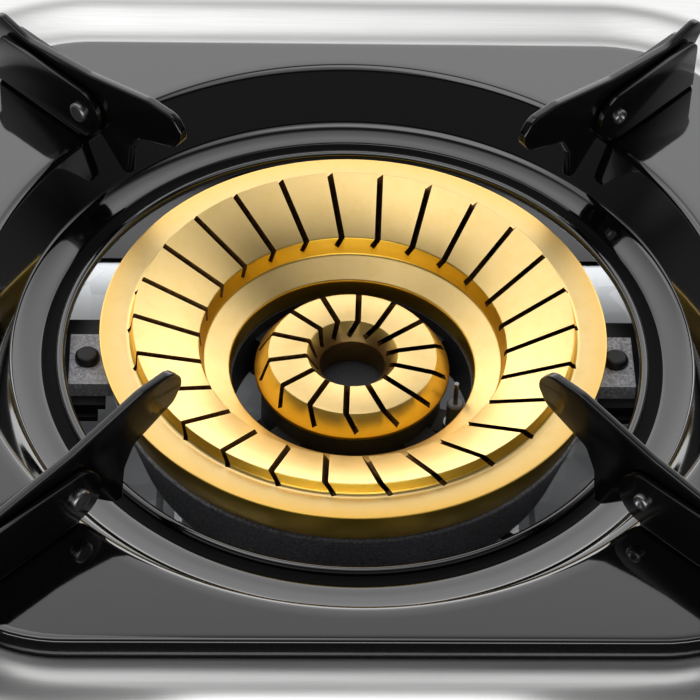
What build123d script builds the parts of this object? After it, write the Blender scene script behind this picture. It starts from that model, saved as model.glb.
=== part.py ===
from build123d import *
from math import cos, radians, sin, tan
import os

os.makedirs("parts", exist_ok=True)

# Single-burner tabletop gas stove: +Z up, front towards -Y, origin at the middle of its base on the table.

# Driving sizes of the body
deck_height = 90.0
foot_height = 15.0
sheet = 1.0
corner_radius = 18.0
knob_projection = 26.0
nozzle_projection = 30.0

# Driving sizes outwards from the burner axis: inner cap, outer cap, well, flat of the tray, recess and deck
funnel_hole_radius = 8.4
funnel_width = 3.5
inner_flat_width = 9.8
inner_cap_gap = 10.0
cap_ledge_width = 6.9
cap_throat_width = 1.0
cap_crown_width = 16.8
cap_foot_step = 0.8
cap_flange = 8.0
ring_gap = 10.2
well_width = 21.8
tray_land = 11.6
tray_corner_radius = 38.9
tray_skirt = 5.4
recess_margin = 12.4
recess_depth = 3.6
deck_side_margin = 18.8
deck_rear_margin = 15.8
deck_front_margin = 81.8

# Driving fits
seat_gap = 0.2
running_clearance = 0.08
side_clearance = 0.3
overrun = 2.0

# Sizes and places that follow from them
funnel_radius = funnel_hole_radius + funnel_width
inner_top_radius = funnel_radius + inner_flat_width
cap_hole_radius = inner_top_radius + inner_cap_gap
cap_ledge_radius = cap_hole_radius + cap_ledge_width
cap_throat_radius = cap_ledge_radius + cap_throat_width
cap_crown_radius = cap_throat_radius + cap_crown_width
cap_foot_radius = cap_crown_radius + cap_foot_step
cap_radius = cap_foot_radius + cap_flange
bead_radius = cap_radius + ring_gap
lip_radius = bead_radius + well_width
tray_half = lip_radius + tray_land
recess_half = tray_half + recess_margin
burner_to_rear = recess_half + deck_rear_margin
body_width = 2 * (recess_half + deck_side_margin)
body_depth = burner_to_rear + recess_half + deck_front_margin
body_middle_y = (knob_projection - nozzle_projection) / 2
front_y = body_middle_y - body_depth / 2
rear_y = body_middle_y + body_depth / 2
burner_y = rear_y - burner_to_rear
recess_floor_z = deck_height - recess_depth
tray_top_z = recess_floor_z + seat_gap + tray_skirt
deck_under_z = deck_height - sheet
recess_under_z = recess_floor_z - sheet
burner_plane = Plane(origin=(0, burner_y, tray_top_z))
burner_section = Plane(origin=(0, burner_y, tray_top_z), x_dir=(1, 0, 0), z_dir=(0, -1, 0))
burner_axis = Axis((0, burner_y, 0), (0, 0, 1))


def corners_near(shape, *places):
    """The corners of a sketch or part that lie nearest to the places named."""
    return [shape.vertices().sort_by_distance(place)[0] for place in places]


def corner_places(middle_y, pitch_x, pitch_y):
    """Four corner places of a rectangle of fasteners or feet."""
    return [
        (side * pitch_x / 2, middle_y + end * pitch_y / 2)
        for side in (-1, 1)
        for end in (-1, 1)
    ]


# Deck: a pressed stainless top with a turned-down skirt and a square recess round the tray
deck_skirt = 14.0
deck_edge_round = 4.0
deck_hole_inset = 2.2
deck_hole_radius = lip_radius - deck_hole_inset
recess_edge_round = 1.2

with BuildPart() as top_panel:
    with BuildSketch(Plane.XY.offset(deck_height - deck_skirt)):
        with Locations((0, body_middle_y)):
            RectangleRounded(body_width, body_depth, corner_radius)
    extrude(amount=deck_skirt)
    fillet(top_panel.faces().sort_by(Axis.Z)[-1].edges(), deck_edge_round)
    offset(amount=-sheet, openings=top_panel.faces().sort_by(Axis.Z)[0])
    with BuildSketch(Plane.XY.offset(deck_under_z)):
        with Locations((0, burner_y)):
            RectangleRounded(
                2 * (recess_half + sheet),
                2 * (recess_half + sheet),
                tray_corner_radius + recess_margin + sheet,
            )
    extrude(amount=-recess_depth)
    with BuildSketch(Plane.XY.offset(deck_height)):
        with Locations((0, burner_y)):
            RectangleRounded(2 * recess_half, 2 * recess_half, tray_corner_radius + recess_margin)
    extrude(amount=-recess_depth, mode=Mode.SUBTRACT)
    recess_rim = top_panel.faces().filter_by(Axis.Z).sort_by(Axis.Z)[-1].inner_wires()[0].edges()
    fillet(recess_rim, recess_edge_round)
    with BuildSketch(Plane.XY.offset(deck_height)):
        with Locations((0, burner_y)):
            Circle(deck_hole_radius)
    extrude(amount=-(recess_depth + sheet + overrun), mode=Mode.SUBTRACT)

top_panel.part.label = "top_panel"
export_step(top_panel.part, "parts/top_panel.step")


# Body frame: folded side and rear walls with inward foot flanges, inside the deck's skirt
front_return = 18.0
side_flange = 12.0
rear_flange = 37.0
inlet_inset = 45.0
inlet_x = inlet_inset - body_width / 2
bezel_top_margin = 1.0
bezel_bottom_margin = 6.0
bezel_room = deck_height - deck_skirt - foot_height
bezel_radius = (bezel_room - bezel_top_margin - bezel_bottom_margin) / 2
train_z = foot_height + bezel_bottom_margin + bezel_radius
nozzle_thread_radius = 7.0
fit_clearance = 0.2
frame_half_width = body_width / 2 - sheet - side_clearance
frame_front_y = front_y + sheet + side_clearance
frame_rear_y = rear_y - sheet - side_clearance
frame_corner_radius = corner_radius - sheet - side_clearance
frame_middle_y = (frame_front_y + frame_rear_y) / 2
frame_depth = frame_rear_y - frame_front_y
pan_top_z = foot_height + sheet
return_y = frame_front_y + front_return
wall_top_z = deck_height - deck_edge_round - side_clearance
screw_radius = 1.5
screw_edge = 7.0
screw_pitch_y = 150.0
foot_inset_x = 24.0
foot_inset_y = 26.0
foot_screw_radius = 2.0
foot_pitch_x = body_width - 2 * foot_inset_x
foot_pitch_y = body_depth - 2 * foot_inset_y
front_screw_inset = 50.0
front_screw_x = body_width / 2 - front_screw_inset
pan_screw_places = corner_places(
    frame_middle_y + front_return / 2,
    2 * (frame_half_width - screw_edge),
    screw_pitch_y,
)
front_screw_places = [(side * front_screw_x, frame_front_y + screw_edge) for side in (-1, 1)]
foot_places = corner_places(body_middle_y, foot_pitch_x, foot_pitch_y)


def wall_outline(inset, mode=Mode.ADD):
    """Draw the rounded outline of the walls, drawn in by an inset."""
    with Locations((0, frame_middle_y)):
        RectangleRounded(
            2 * (frame_half_width - inset),
            frame_depth - 2 * inset,
            frame_corner_radius - inset,
            mode=mode,
        )


with BuildPart() as body_frame:
    with BuildSketch(Plane.XY.offset(foot_height)):
        wall_outline(0)
        wall_outline(sheet, mode=Mode.SUBTRACT)
    extrude(amount=wall_top_z - foot_height)
    with BuildSketch(Plane.XY.offset(pan_top_z)):
        wall_outline(sheet)
        with Locations((0, (return_y + frame_rear_y - rear_flange) / 2)):
            Rectangle(
                2 * (frame_half_width - side_flange),
                frame_rear_y - rear_flange - return_y,
                mode=Mode.SUBTRACT,
            )
        with Locations(*pan_screw_places):
            Circle(screw_radius + running_clearance, mode=Mode.SUBTRACT)
        with Locations(*foot_places):
            Circle(foot_screw_radius + running_clearance, mode=Mode.SUBTRACT)
    extrude(amount=sheet)
    with BuildSketch(Plane.XY.offset(foot_height - overrun)):
        with Locations((0, return_y + side_clearance)):
            Rectangle(body_width, frame_depth, align=(Align.CENTER, Align.MAX))
    extrude(amount=deck_height, mode=Mode.SUBTRACT)
    with BuildSketch(Plane(origin=(inlet_x, frame_rear_y, train_z), x_dir=(1, 0, 0), z_dir=(0, 1, 0))):
        Circle(nozzle_thread_radius + fit_clearance)
    extrude(amount=-(sheet + overrun), both=True, mode=Mode.SUBTRACT)

body_frame.part.label = "body_frame"
export_step(body_frame.part, "parts/body_frame.step")


# Front panel: a stainless pressing with rounded corners, a bottom flange and the hole for the tap
tap_hole_radius = 6.5
panel_inner_y = frame_front_y + sheet
tap_plane = Plane(origin=(0, frame_front_y, train_z), x_dir=(1, 0, 0), z_dir=(0, -1, 0))

with BuildPart() as front_panel:
    with BuildSketch(Plane.XY.offset(foot_height)):
        wall_outline(0)
        wall_outline(sheet, mode=Mode.SUBTRACT)
    extrude(amount=wall_top_z - foot_height)
    with BuildSketch(Plane.XY.offset(pan_top_z)):
        wall_outline(sheet)
        with Locations((0, frame_front_y + side_flange)):
            Rectangle(body_width, frame_depth, align=(Align.CENTER, Align.MIN), mode=Mode.SUBTRACT)
        with Locations(*front_screw_places):
            Circle(screw_radius + running_clearance, mode=Mode.SUBTRACT)
    extrude(amount=sheet)
    with BuildSketch(Plane.XY.offset(foot_height - overrun)):
        with Locations((0, return_y)):
            Rectangle(body_width, frame_depth, align=(Align.CENTER, Align.MIN))
    extrude(amount=deck_height, mode=Mode.SUBTRACT)
    with BuildSketch(tap_plane):
        Circle(tap_hole_radius)
    extrude(amount=-(sheet + overrun), both=True, mode=Mode.SUBTRACT)

front_panel.part.label = "front_panel"
export_step(front_panel.part, "parts/front_panel.step")


# Valve bracket places, shared by the pan, the bracket and the valve
valve_screw_half_pitch = 11.0
foot_screw_setback = 22.0
block_screw_setback = 42.0
valve_foot_places = [(side * valve_screw_half_pitch, front_y + foot_screw_setback) for side in (-1, 1)]
valve_block_places = [(side * valve_screw_half_pitch, front_y + block_screw_setback) for side in (-1, 1)]


# Base pan: a galvanised plate with pressed ribs and vent slots, under the foot flanges
rib_spacing = 96.0
rib_width = 7.0
rib_height = 2.0
vent_length = 42.0
vent_width = 5.0
vent_pitch = 14.0
vent_count = 5
vent_rows_apart = 150.0
vent_setback = 92.0
rib_length = burner_to_rear + vent_setback / 2
vent_y = burner_y - vent_setback

with BuildPart() as base_pan:
    with BuildSketch(Plane.XY.offset(foot_height)):
        wall_outline(sheet + side_clearance)
        with Locations((0, vent_y)):
            with GridLocations(vent_rows_apart, vent_pitch, 2, vent_count):
                SlotOverall(vent_length, vent_width, mode=Mode.SUBTRACT)
        with Locations(*pan_screw_places, *front_screw_places, *valve_foot_places):
            Circle(screw_radius + running_clearance, mode=Mode.SUBTRACT)
        with Locations(*foot_places):
            Circle(foot_screw_radius + running_clearance, mode=Mode.SUBTRACT)
    extrude(amount=sheet)
    with BuildSketch(Plane.XY.offset(pan_top_z)):
        with Locations((0, burner_y)):
            with GridLocations(rib_spacing, 0, 2, 1):
                SlotOverall(rib_length, rib_width, rotation=90)
    extrude(amount=rib_height, taper=45)

base_pan.part.label = "base_pan"
export_step(base_pan.part, "parts/base_pan.step")


# Outer burner cap: a brass ring whose sloping crown is gashed by slots that lean and sweep
cap_rim_z = -5.0
cap_rim_round = 0.7
cap_rim_rise = 0.6
cap_foot_fillet = 1.6
cap_crown_z = -2.05
cap_crown_fall = 8.25
cap_throat_fall = 5.1
cap_ledge_fall = 3.1
cap_skirt = 10.2
cap_wall = 2.8
cap_crown_wall = 3.0
cap_sleeve = 5.3
cap_sleeve_wall = 3.3
cap_soft_edge = 0.4
slot_width = 1.3
slot_count = 26
slot_skew = 0.40
slot_lean = 0.62
slot_first_angle = -98.4
slot_foot_reach = 0.5
slot_throat_drop = 3.2

cap_foot_z = cap_rim_z - cap_rim_rise
cap_throat_z = cap_crown_z - cap_crown_fall
cap_ledge_z = cap_throat_z - cap_throat_fall
cap_hole_z = cap_ledge_z - cap_ledge_fall
cap_seat_radius = cap_radius - cap_wall
cap_seat_z = cap_foot_z - cap_skirt
cap_inner_seat_z = cap_hole_z - cap_sleeve
cap_inner_seat_radius = cap_hole_radius + cap_sleeve_wall
cap_chamber_outer = cap_crown_radius - cap_wall / 2
cap_chamber_inner = cap_throat_radius + cap_wall / 2
cap_flange_under_z = cap_foot_z - cap_wall
cap_outline = [
    (cap_hole_radius, cap_hole_z),
    (cap_ledge_radius, cap_ledge_z),
    (cap_throat_radius, cap_throat_z),
    (cap_crown_radius, cap_crown_z),
    (cap_foot_radius, cap_foot_z),
    (cap_radius, cap_rim_z),
    (cap_seat_radius, cap_seat_z),
    (cap_seat_radius - cap_wall, cap_seat_z),
    (cap_radius - cap_wall - cap_rim_round, cap_flange_under_z),
    (cap_chamber_outer, cap_flange_under_z),
    (cap_chamber_outer, cap_crown_z - cap_crown_wall - cap_rim_round),
    (cap_chamber_inner, cap_throat_z - cap_crown_wall),
    (cap_chamber_inner, cap_ledge_z - cap_wall),
    (cap_inner_seat_radius, cap_hole_z - cap_wall),
    (cap_inner_seat_radius, cap_inner_seat_z),
    (cap_hole_radius, cap_inner_seat_z),
]


def gash(start, skew, lean, width, outline):
    """One thin slot at angle zero, in the burner's own frame: the saw sweeps by skew and leans by lean."""
    start_radius, start_height = start
    saw_plane = Plane(origin=(start_radius, 0, start_height), x_dir=(1, skew, 0), z_dir=(-skew, 1, lean))
    corners = []
    for radius, height in outline:
        across = skew * (radius - start_radius) + lean * (start_height - height)
        corner = saw_plane.to_local_coords(Vector(radius, across, height))
        corners.append((corner.X, corner.Y))
    with BuildPart() as cutter:
        with BuildSketch(saw_plane):
            with BuildLine():
                Polyline(*corners, close=True)
            make_face()
        extrude(amount=width / 2, both=True)
    return cutter.part


outer_gash = gash(
    (cap_crown_radius, cap_crown_z),
    slot_skew,
    slot_lean,
    slot_width,
    [
        (cap_throat_radius - overrun, cap_throat_z - slot_throat_drop),
        (cap_foot_radius + slot_foot_reach, cap_foot_z),
        (cap_foot_radius + slot_foot_reach, cap_crown_z + overrun),
        (cap_throat_radius - overrun, cap_crown_z + overrun),
    ],
)

with BuildPart(burner_plane) as outer_burner_cap:
    with BuildSketch(burner_section) as cap_section:
        with BuildLine():
            Polyline(*cap_outline, close=True)
        make_face()
        fillet(corners_near(cap_section, (cap_radius, cap_rim_z)), cap_rim_round)
        fillet(corners_near(cap_section, (cap_foot_radius, cap_foot_z)), cap_foot_fillet)
        soft_corners = [
            (cap_crown_radius, cap_crown_z),
            (cap_ledge_radius, cap_ledge_z),
            (cap_hole_radius, cap_hole_z),
        ]
        fillet(corners_near(cap_section, *soft_corners), cap_soft_edge)
    revolve(axis=burner_axis)
    with PolarLocations(0, slot_count, start_angle=slot_first_angle):
        add(outer_gash, mode=Mode.SUBTRACT)

outer_burner_cap.part.label = "outer_burner_cap"
export_step(outer_burner_cap.part, "parts/outer_burner_cap.step")


# Inner burner cap: a brass cone with a flat gashed top, a funnel and a centre tube
inner_top_z = -13.8
inner_cone_width = 3.6
inner_cone_height = 6.0
inner_edge = 0.8
funnel_depth = 4.3
centre_tube_wall = 2.4
centre_tube_length = 6.9
inner_skirt_inset = 4.7
inner_skirt_length = 2.8
inner_skirt_wall = 2.2
inner_crown_wall = 2.8
inner_slot_count = 14
inner_slot_skew = 0.05
inner_slot_lean = 0.72
inner_slot_first_angle = -95.6
inner_slot_depth = 4.3

inner_foot_radius = inner_top_radius + inner_cone_width
inner_foot_z = inner_top_z - inner_cone_height
funnel_z = inner_top_z - funnel_depth
centre_tube_z = funnel_z - centre_tube_length
inner_skirt_radius = inner_foot_radius - inner_skirt_inset
inner_skirt_z = inner_foot_z - inner_skirt_length
inner_chamber_radius = inner_skirt_radius - inner_skirt_wall
inner_chamber_z = inner_top_z - inner_crown_wall
inner_outline = [
    (funnel_hole_radius, funnel_z),
    (funnel_radius, inner_top_z),
    (inner_top_radius, inner_top_z),
    (inner_foot_radius, inner_foot_z + inner_edge),
    (inner_foot_radius, inner_foot_z),
    (inner_skirt_radius, inner_foot_z),
    (inner_skirt_radius, inner_skirt_z),
    (inner_chamber_radius, inner_skirt_z),
    (inner_chamber_radius, inner_chamber_z),
    (funnel_hole_radius + centre_tube_wall, inner_chamber_z),
    (funnel_hole_radius + centre_tube_wall, centre_tube_z),
    (funnel_hole_radius, centre_tube_z),
]

inner_gash = gash(
    (inner_top_radius, inner_top_z),
    inner_slot_skew,
    inner_slot_lean,
    slot_width,
    [
        (funnel_hole_radius + cap_soft_edge, inner_chamber_z - cap_soft_edge),
        (inner_foot_radius + overrun, inner_top_z - inner_slot_depth),
        (inner_foot_radius + overrun, inner_top_z + overrun),
        (funnel_hole_radius + cap_soft_edge, inner_top_z + overrun),
    ],
)

with BuildPart(burner_plane) as inner_burner_cap:
    with BuildSketch(burner_section) as inner_section:
        with BuildLine():
            Polyline(*inner_outline, close=True)
        make_face()
        soft_corners = [
            (funnel_hole_radius, funnel_z),
            (funnel_radius, inner_top_z),
            (inner_top_radius, inner_top_z),
        ]
        fillet(corners_near(inner_section, *soft_corners), cap_soft_edge)
    revolve(axis=burner_axis)
    with PolarLocations(0, inner_slot_count, start_angle=inner_slot_first_angle):
        add(inner_gash, mode=Mode.SUBTRACT)

inner_burner_cap.part.label = "inner_burner_cap"
export_step(inner_burner_cap.part, "parts/inner_burner_cap.step")


# Burner body: an iron casting with an outer ring channel, a centre pot, bridges, ears and two mixing tubes
bowl_top_z = cap_seat_z - seat_gap
bowl_shoulder = 0.6
bowl_draft = 6.5
bowl_over_tube = 6.0
bowl_wall = 3.6
bowl_edge_round = 0.8
bowl_bore_step = 0.5
pot_wall = 2.5
pot_drop = 12.0
pot_floor = 4.0
pot_skirt_clearance = 0.3
post_step = 0.1
bowl_top_radius = cap_seat_radius + bowl_shoulder
bowl_base_radius = bowl_top_radius - bowl_draft
bowl_base_z = train_z - tray_top_z + bowl_over_tube
bowl_inner_top_z = cap_inner_seat_z - seat_gap
bowl_inner_radius = cap_hole_radius - bowl_bore_step
pot_radius = inner_skirt_radius + pot_skirt_clearance + pot_wall
pot_top_z = inner_foot_z - seat_gap
pot_base_z = bowl_base_z - pot_drop
post_radius = funnel_hole_radius + centre_tube_wall + post_step
post_top_z = centre_tube_z - seat_gap
bridge_width = 9.0
bridge_depth = 14.0
bridge_count = 4
tube_offset = 17.0
tube_radius = 11.5
tube_wall = 2.6
throat_radius = 9.4
throat_share = 0.75
mouth_radius = 12.9
mouth_length = 12.0
mouth_wall = 2.4
mouth_to_front = 54.0
mouth_reach = burner_y - front_y - mouth_to_front
injector_hole_radius = 5.5
outer_tube_start = 36.0
inner_tube_start = 4.0
port_radius = 6.0
window_count = 3
window_width = 9.0
window_length = 6.0
ear_length = 10.0
ear_width = 18.0
ear_thickness = 4.4
ear_drop = 5.0
ear_screw_setback = 4.6
ear_screw_radius = 1.8
electrode_angle = -20.0
electrode_inset = 3.4
ceramic_radius = 2.2
lug_width = 8.0
lug_thickness = 4.0
lug_rise = 8.0
ear_tip_x = bowl_top_radius + ear_length
ear_bottom_z = bowl_top_z - ear_drop
ear_screw_x = ear_tip_x - ear_screw_setback
electrode_radius = cap_hole_radius - electrode_inset
lug_top_z = bowl_base_z + lug_rise
mouth_back = mouth_reach - mouth_length
throat_reach = mouth_reach * throat_share

bowl_outline = [
    (bowl_top_radius, bowl_top_z),
    (bowl_base_radius, bowl_base_z),
    (bowl_inner_radius, bowl_base_z),
    (bowl_inner_radius, bowl_inner_top_z),
    (cap_inner_seat_radius, bowl_inner_top_z),
    (cap_inner_seat_radius, bowl_base_z + bowl_wall),
    (bowl_base_radius - bowl_wall, bowl_base_z + bowl_wall),
    (bowl_top_radius - bowl_wall, bowl_top_z),
]
pot_outline = [
    (0, pot_base_z),
    (pot_radius, pot_base_z),
    (pot_radius, pot_top_z),
    (inner_skirt_radius + pot_skirt_clearance, pot_top_z),
    (inner_skirt_radius + pot_skirt_clearance, pot_base_z + pot_floor),
    (post_radius, pot_base_z + pot_floor),
    (post_radius, post_top_z),
    (0, post_top_z),
]


def tube_section(tube_x):
    """A half section through one mixing tube: forward reach along its first axis, radius along its second."""
    return Plane(origin=(tube_x, burner_y, train_z), x_dir=(0, -1, 0), z_dir=(-1, 0, 0))


def tube_axis(tube_x):
    """The centre line of one mixing tube."""
    return Axis((tube_x, burner_y, train_z), (0, -1, 0))


with BuildPart() as burner_body:
    with BuildSketch(burner_section) as casting_section:
        with BuildLine():
            Polyline(*bowl_outline, close=True)
        make_face()
        fillet(corners_near(casting_section, (bowl_top_radius, bowl_top_z)), bowl_edge_round)
        with BuildLine():
            Polyline(*pot_outline, close=True)
        make_face()
    revolve(axis=burner_axis)
    with BuildSketch(burner_plane.offset(bowl_base_z - bowl_wall)):
        with PolarLocations((pot_radius + bowl_inner_radius) / 2, bridge_count, start_angle=45):
            Rectangle(bowl_inner_radius - pot_radius + bowl_wall, bridge_width)
    extrude(amount=bridge_depth)
    with BuildSketch(burner_plane.offset(lug_top_z)):
        with PolarLocations((pot_radius + bowl_inner_radius) / 2, 1, start_angle=electrode_angle):
            Rectangle(bowl_inner_radius - pot_radius + bowl_wall, lug_width)
        with PolarLocations(electrode_radius, 1, start_angle=electrode_angle):
            Circle(ceramic_radius + running_clearance, mode=Mode.SUBTRACT)
    extrude(amount=-lug_thickness)
    with BuildSketch(burner_plane.offset(ear_bottom_z)):
        with PolarLocations((ear_tip_x + bowl_base_radius) / 2, 2):
            Rectangle(ear_tip_x - bowl_base_radius, ear_width)
        with PolarLocations(ear_screw_x, 2):
            Circle(ear_screw_radius + running_clearance, mode=Mode.SUBTRACT)
    extrude(amount=ear_thickness)
    for tube_x, tube_start in ((tube_offset, outer_tube_start), (-tube_offset, inner_tube_start)):
        with BuildSketch(tube_section(tube_x)):
            with BuildLine():
                Polyline(
                    (tube_start, 0),
                    (tube_start, tube_radius),
                    (throat_reach, throat_radius),
                    (mouth_back, mouth_radius),
                    (mouth_reach, mouth_radius),
                    (mouth_reach, 0),
                    close=True,
                )
            make_face()
        revolve(axis=tube_axis(tube_x))
    for tube_x, tube_start in ((tube_offset, outer_tube_start), (-tube_offset, inner_tube_start)):
        with BuildSketch(tube_section(tube_x)):
            with BuildLine():
                Polyline(
                    (tube_start + tube_wall, 0),
                    (tube_start + tube_wall, tube_radius - tube_wall),
                    (throat_reach, throat_radius - tube_wall),
                    (mouth_back, mouth_radius - mouth_wall),
                    (mouth_reach - mouth_wall, mouth_radius - mouth_wall),
                    (mouth_reach - mouth_wall, injector_hole_radius),
                    (mouth_reach + overrun, injector_hole_radius),
                    (mouth_reach + overrun, 0),
                    close=True,
                )
            make_face()
        revolve(axis=tube_axis(tube_x), mode=Mode.SUBTRACT)
        window_plane = Plane(
            origin=(tube_x, burner_y - mouth_reach + mouth_length / 2, train_z),
            x_dir=(1, 0, 0),
            z_dir=(0, -1, 0),
        )
        with BuildSketch(window_plane):
            with PolarLocations(mouth_radius - mouth_wall / 2, window_count, start_angle=90):
                Rectangle(2 * mouth_wall, window_width)
        extrude(amount=window_length / 2, both=True, mode=Mode.SUBTRACT)
    with BuildSketch(burner_plane.offset(bowl_base_z + bowl_wall)):
        with Locations((tube_offset, -(outer_tube_start + port_radius + tube_wall))):
            Circle(port_radius)
    extrude(amount=-(bowl_wall + tube_wall + port_radius), mode=Mode.SUBTRACT)
    with BuildSketch(burner_plane.offset(pot_base_z + pot_floor)):
        with Locations((-tube_offset, -inner_tube_start - tube_wall)):
            Circle(tube_wall)
    extrude(amount=pot_floor, mode=Mode.SUBTRACT)

burner_body.part.label = "burner_body"
export_step(burner_body.part, "parts/burner_body.step")


# Drip tray: a black enamelled pressing with a turned-down skirt, a hem and a round well with a rolled bead
tray_sheet = 1.2
tray_edge_round = 2.6
tray_hem = 0.8
tray_hem_height = 1.6
tray_hem_round = 0.3
lip_round = 3.0
well_slope_width = 8.7
well_corner_z = -9.0
well_corner_round = 3.2
well_floor_fall = 0.5
well_step_width = 3.2
well_step_fall = 2.1
well_step_round = 1.6
bead_land = 1.6
bead_drop = 0.7
bead_round = 1.25
lip_land = 4.0
well_corner_radius = lip_radius - well_slope_width
well_step_radius = bead_radius + bead_land
well_floor_radius = well_step_radius + well_step_width
well_floor_z = well_corner_z - well_floor_fall
well_step_z = well_floor_z - well_step_fall
bead_z = well_step_z - bead_drop

well_outline = [
    (lip_radius + lip_land, 0),
    (lip_radius, 0),
    (well_corner_radius, well_corner_z),
    (well_floor_radius, well_floor_z),
    (well_step_radius, well_step_z),
    (bead_radius, well_step_z),
    (bead_radius, well_step_z - tray_sheet),
    (well_step_radius, well_step_z - tray_sheet),
    (well_floor_radius - tray_sheet / 2, well_floor_z - tray_sheet),
    (well_corner_radius - tray_sheet / 2, well_corner_z - tray_sheet),
    (lip_radius - tray_sheet / 2, -tray_sheet),
    (lip_radius + lip_land, -tray_sheet),
]

with BuildPart() as drip_tray:
    with BuildSketch(burner_plane):
        RectangleRounded(
            2 * (tray_half - tray_hem),
            2 * (tray_half - tray_hem),
            tray_corner_radius - tray_hem,
        )
    extrude(amount=-tray_skirt)
    fillet(drip_tray.faces().sort_by(Axis.Z)[-1].edges(), tray_edge_round)
    offset(amount=-tray_sheet, openings=drip_tray.faces().sort_by(Axis.Z)[0])
    with BuildSketch(burner_plane.offset(-tray_skirt)):
        RectangleRounded(2 * tray_half, 2 * tray_half, tray_corner_radius)
        RectangleRounded(
            2 * (tray_half - tray_hem - tray_sheet),
            2 * (tray_half - tray_hem - tray_sheet),
            tray_corner_radius - tray_hem - tray_sheet,
            mode=Mode.SUBTRACT,
        )
    extrude(amount=tray_hem_height)
    hem_edges = drip_tray.edges().group_by(Axis.Z)[0] + drip_tray.edges().filter_by(
        lambda edge: abs(edge.center().Z - (tray_top_z - tray_skirt + tray_hem_height)) < tray_hem_round
    )
    outer_hem = hem_edges.filter_by(
        lambda edge: max(abs(edge.center().X), abs(edge.center().Y - burner_y)) > tray_half - tray_hem / 2
    )
    fillet(outer_hem, tray_hem_round)
    with BuildSketch(burner_plane.offset(overrun)):
        Circle(lip_radius + lip_land)
    extrude(amount=-(tray_skirt + overrun), mode=Mode.SUBTRACT)
    with BuildSketch(burner_section) as well_section:
        with BuildLine():
            Polyline(*well_outline, close=True)
        make_face()
        fillet(corners_near(well_section, (lip_radius, 0)), lip_round)
        fillet(corners_near(well_section, (well_corner_radius, well_corner_z)), well_corner_round)
        fillet(corners_near(well_section, (well_floor_radius, well_floor_z)), well_step_round)
        with Locations((bead_radius, bead_z)):
            Circle(bead_round)
    revolve(axis=burner_axis)

drip_tray.part.label = "drip_tray"
export_step(drip_tray.part, "parts/drip_tray.step")


# Pan fingers, each a pressed steel blade that rocks on a rivet between the cheeks of its bracket
finger_angles = (45, 135, 225, 315)
finger_names = ("back_right", "back_left", "front_left", "front_right")
pivot_setback = 1.2
pivot_z = 9.4
blade_thickness = 2.4
blade_edge_round = 0.5
cheek_gap = 4.0
cheek_thickness = 1.5
cheek_rise = 7.2
cheek_nose = 7.4
cheek_length = 32.6
cheek_rear_round = 3.0
web_setback = 3.1
rivet_radius = 2.0
rivet_head_radius = 3.4
rivet_head_height = 1.6
rivet_head_round = 0.6
rivet_tail_radius = 2.5
rivet_tail_height = 1.3
rivet_tail_bore = 1.2
rivet_tail_depth = 1.0
arm_length = 37.0
arm_rise = 17.0
tip_slope = 5.6
tip_height = 5.0
crown_length = 8.0
crown_fall = 0.1
waist_length = 36.1
waist_fall = 4.9
tail_length = 37.6
tail_top_length = 14.0
tail_top_fall = 1.8
tail_crown_length = 2.5
tail_crown_rise = 1.0
tail_end_fall = 3.8
tail_under_length = 5.5
heel_length = 9.6
heel_fall = 4.2
knee_length = 6.4
knee_fall = 7.4
leg_setback = 2.1
leg_width = 2.6
foot_length = 2.2
shin_width = 2.9
shin_fall = 4.4
jaw_width = 3.3
jaw_rise = 1.6
chin_width = 3.6
chin_height = 5.0
tip_round = 2.6
jaw_round = 3.0
soft_round = 3.0
leg_round = 1.0
pivot_radius = lip_radius + pivot_setback
cheek_height = pivot_z + cheek_rise
cheek_rear_radius = pivot_radius + cheek_length
web_front_radius = pivot_radius + web_setback
tip_radius = pivot_radius - arm_length
tip_crown_radius = tip_radius + tip_slope
tip_crown_z = pivot_z + arm_rise
tip_z = tip_crown_z - tip_height
crown_end_radius = tip_crown_radius + crown_length
crown_end_z = tip_crown_z - crown_fall
waist_radius = tip_radius + waist_length
waist_z = crown_end_z - waist_fall
tail_radius = pivot_radius + tail_length
tail_top_radius = tail_radius - tail_top_length
tail_top_z = waist_z - tail_top_fall
tail_crown_radius = tail_radius - tail_crown_length
tail_crown_z = tail_top_z + tail_crown_rise
tail_z = tail_crown_z - tail_end_fall
tail_under_radius = tail_radius - tail_under_length
tail_under_z = pivot_z
heel_radius = pivot_radius + heel_length
heel_z = pivot_z - heel_fall
knee_radius = pivot_radius - knee_length
knee_z = pivot_z - knee_fall
leg_outer_radius = well_corner_radius - leg_setback
foot_radius = leg_outer_radius - foot_length
leg_inner_radius = foot_radius - shin_width
leg_inner_z = pivot_z - shin_fall
jaw_radius = leg_inner_radius - jaw_width
jaw_z = pivot_z + jaw_rise
chin_radius = tip_radius + chin_width
chin_z = tip_z - chin_height
foot_share = (foot_radius - well_floor_radius) / (well_corner_radius - well_floor_radius)
blade_foot_z = well_floor_z + foot_share * (well_corner_z - well_floor_z) + seat_gap

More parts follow.
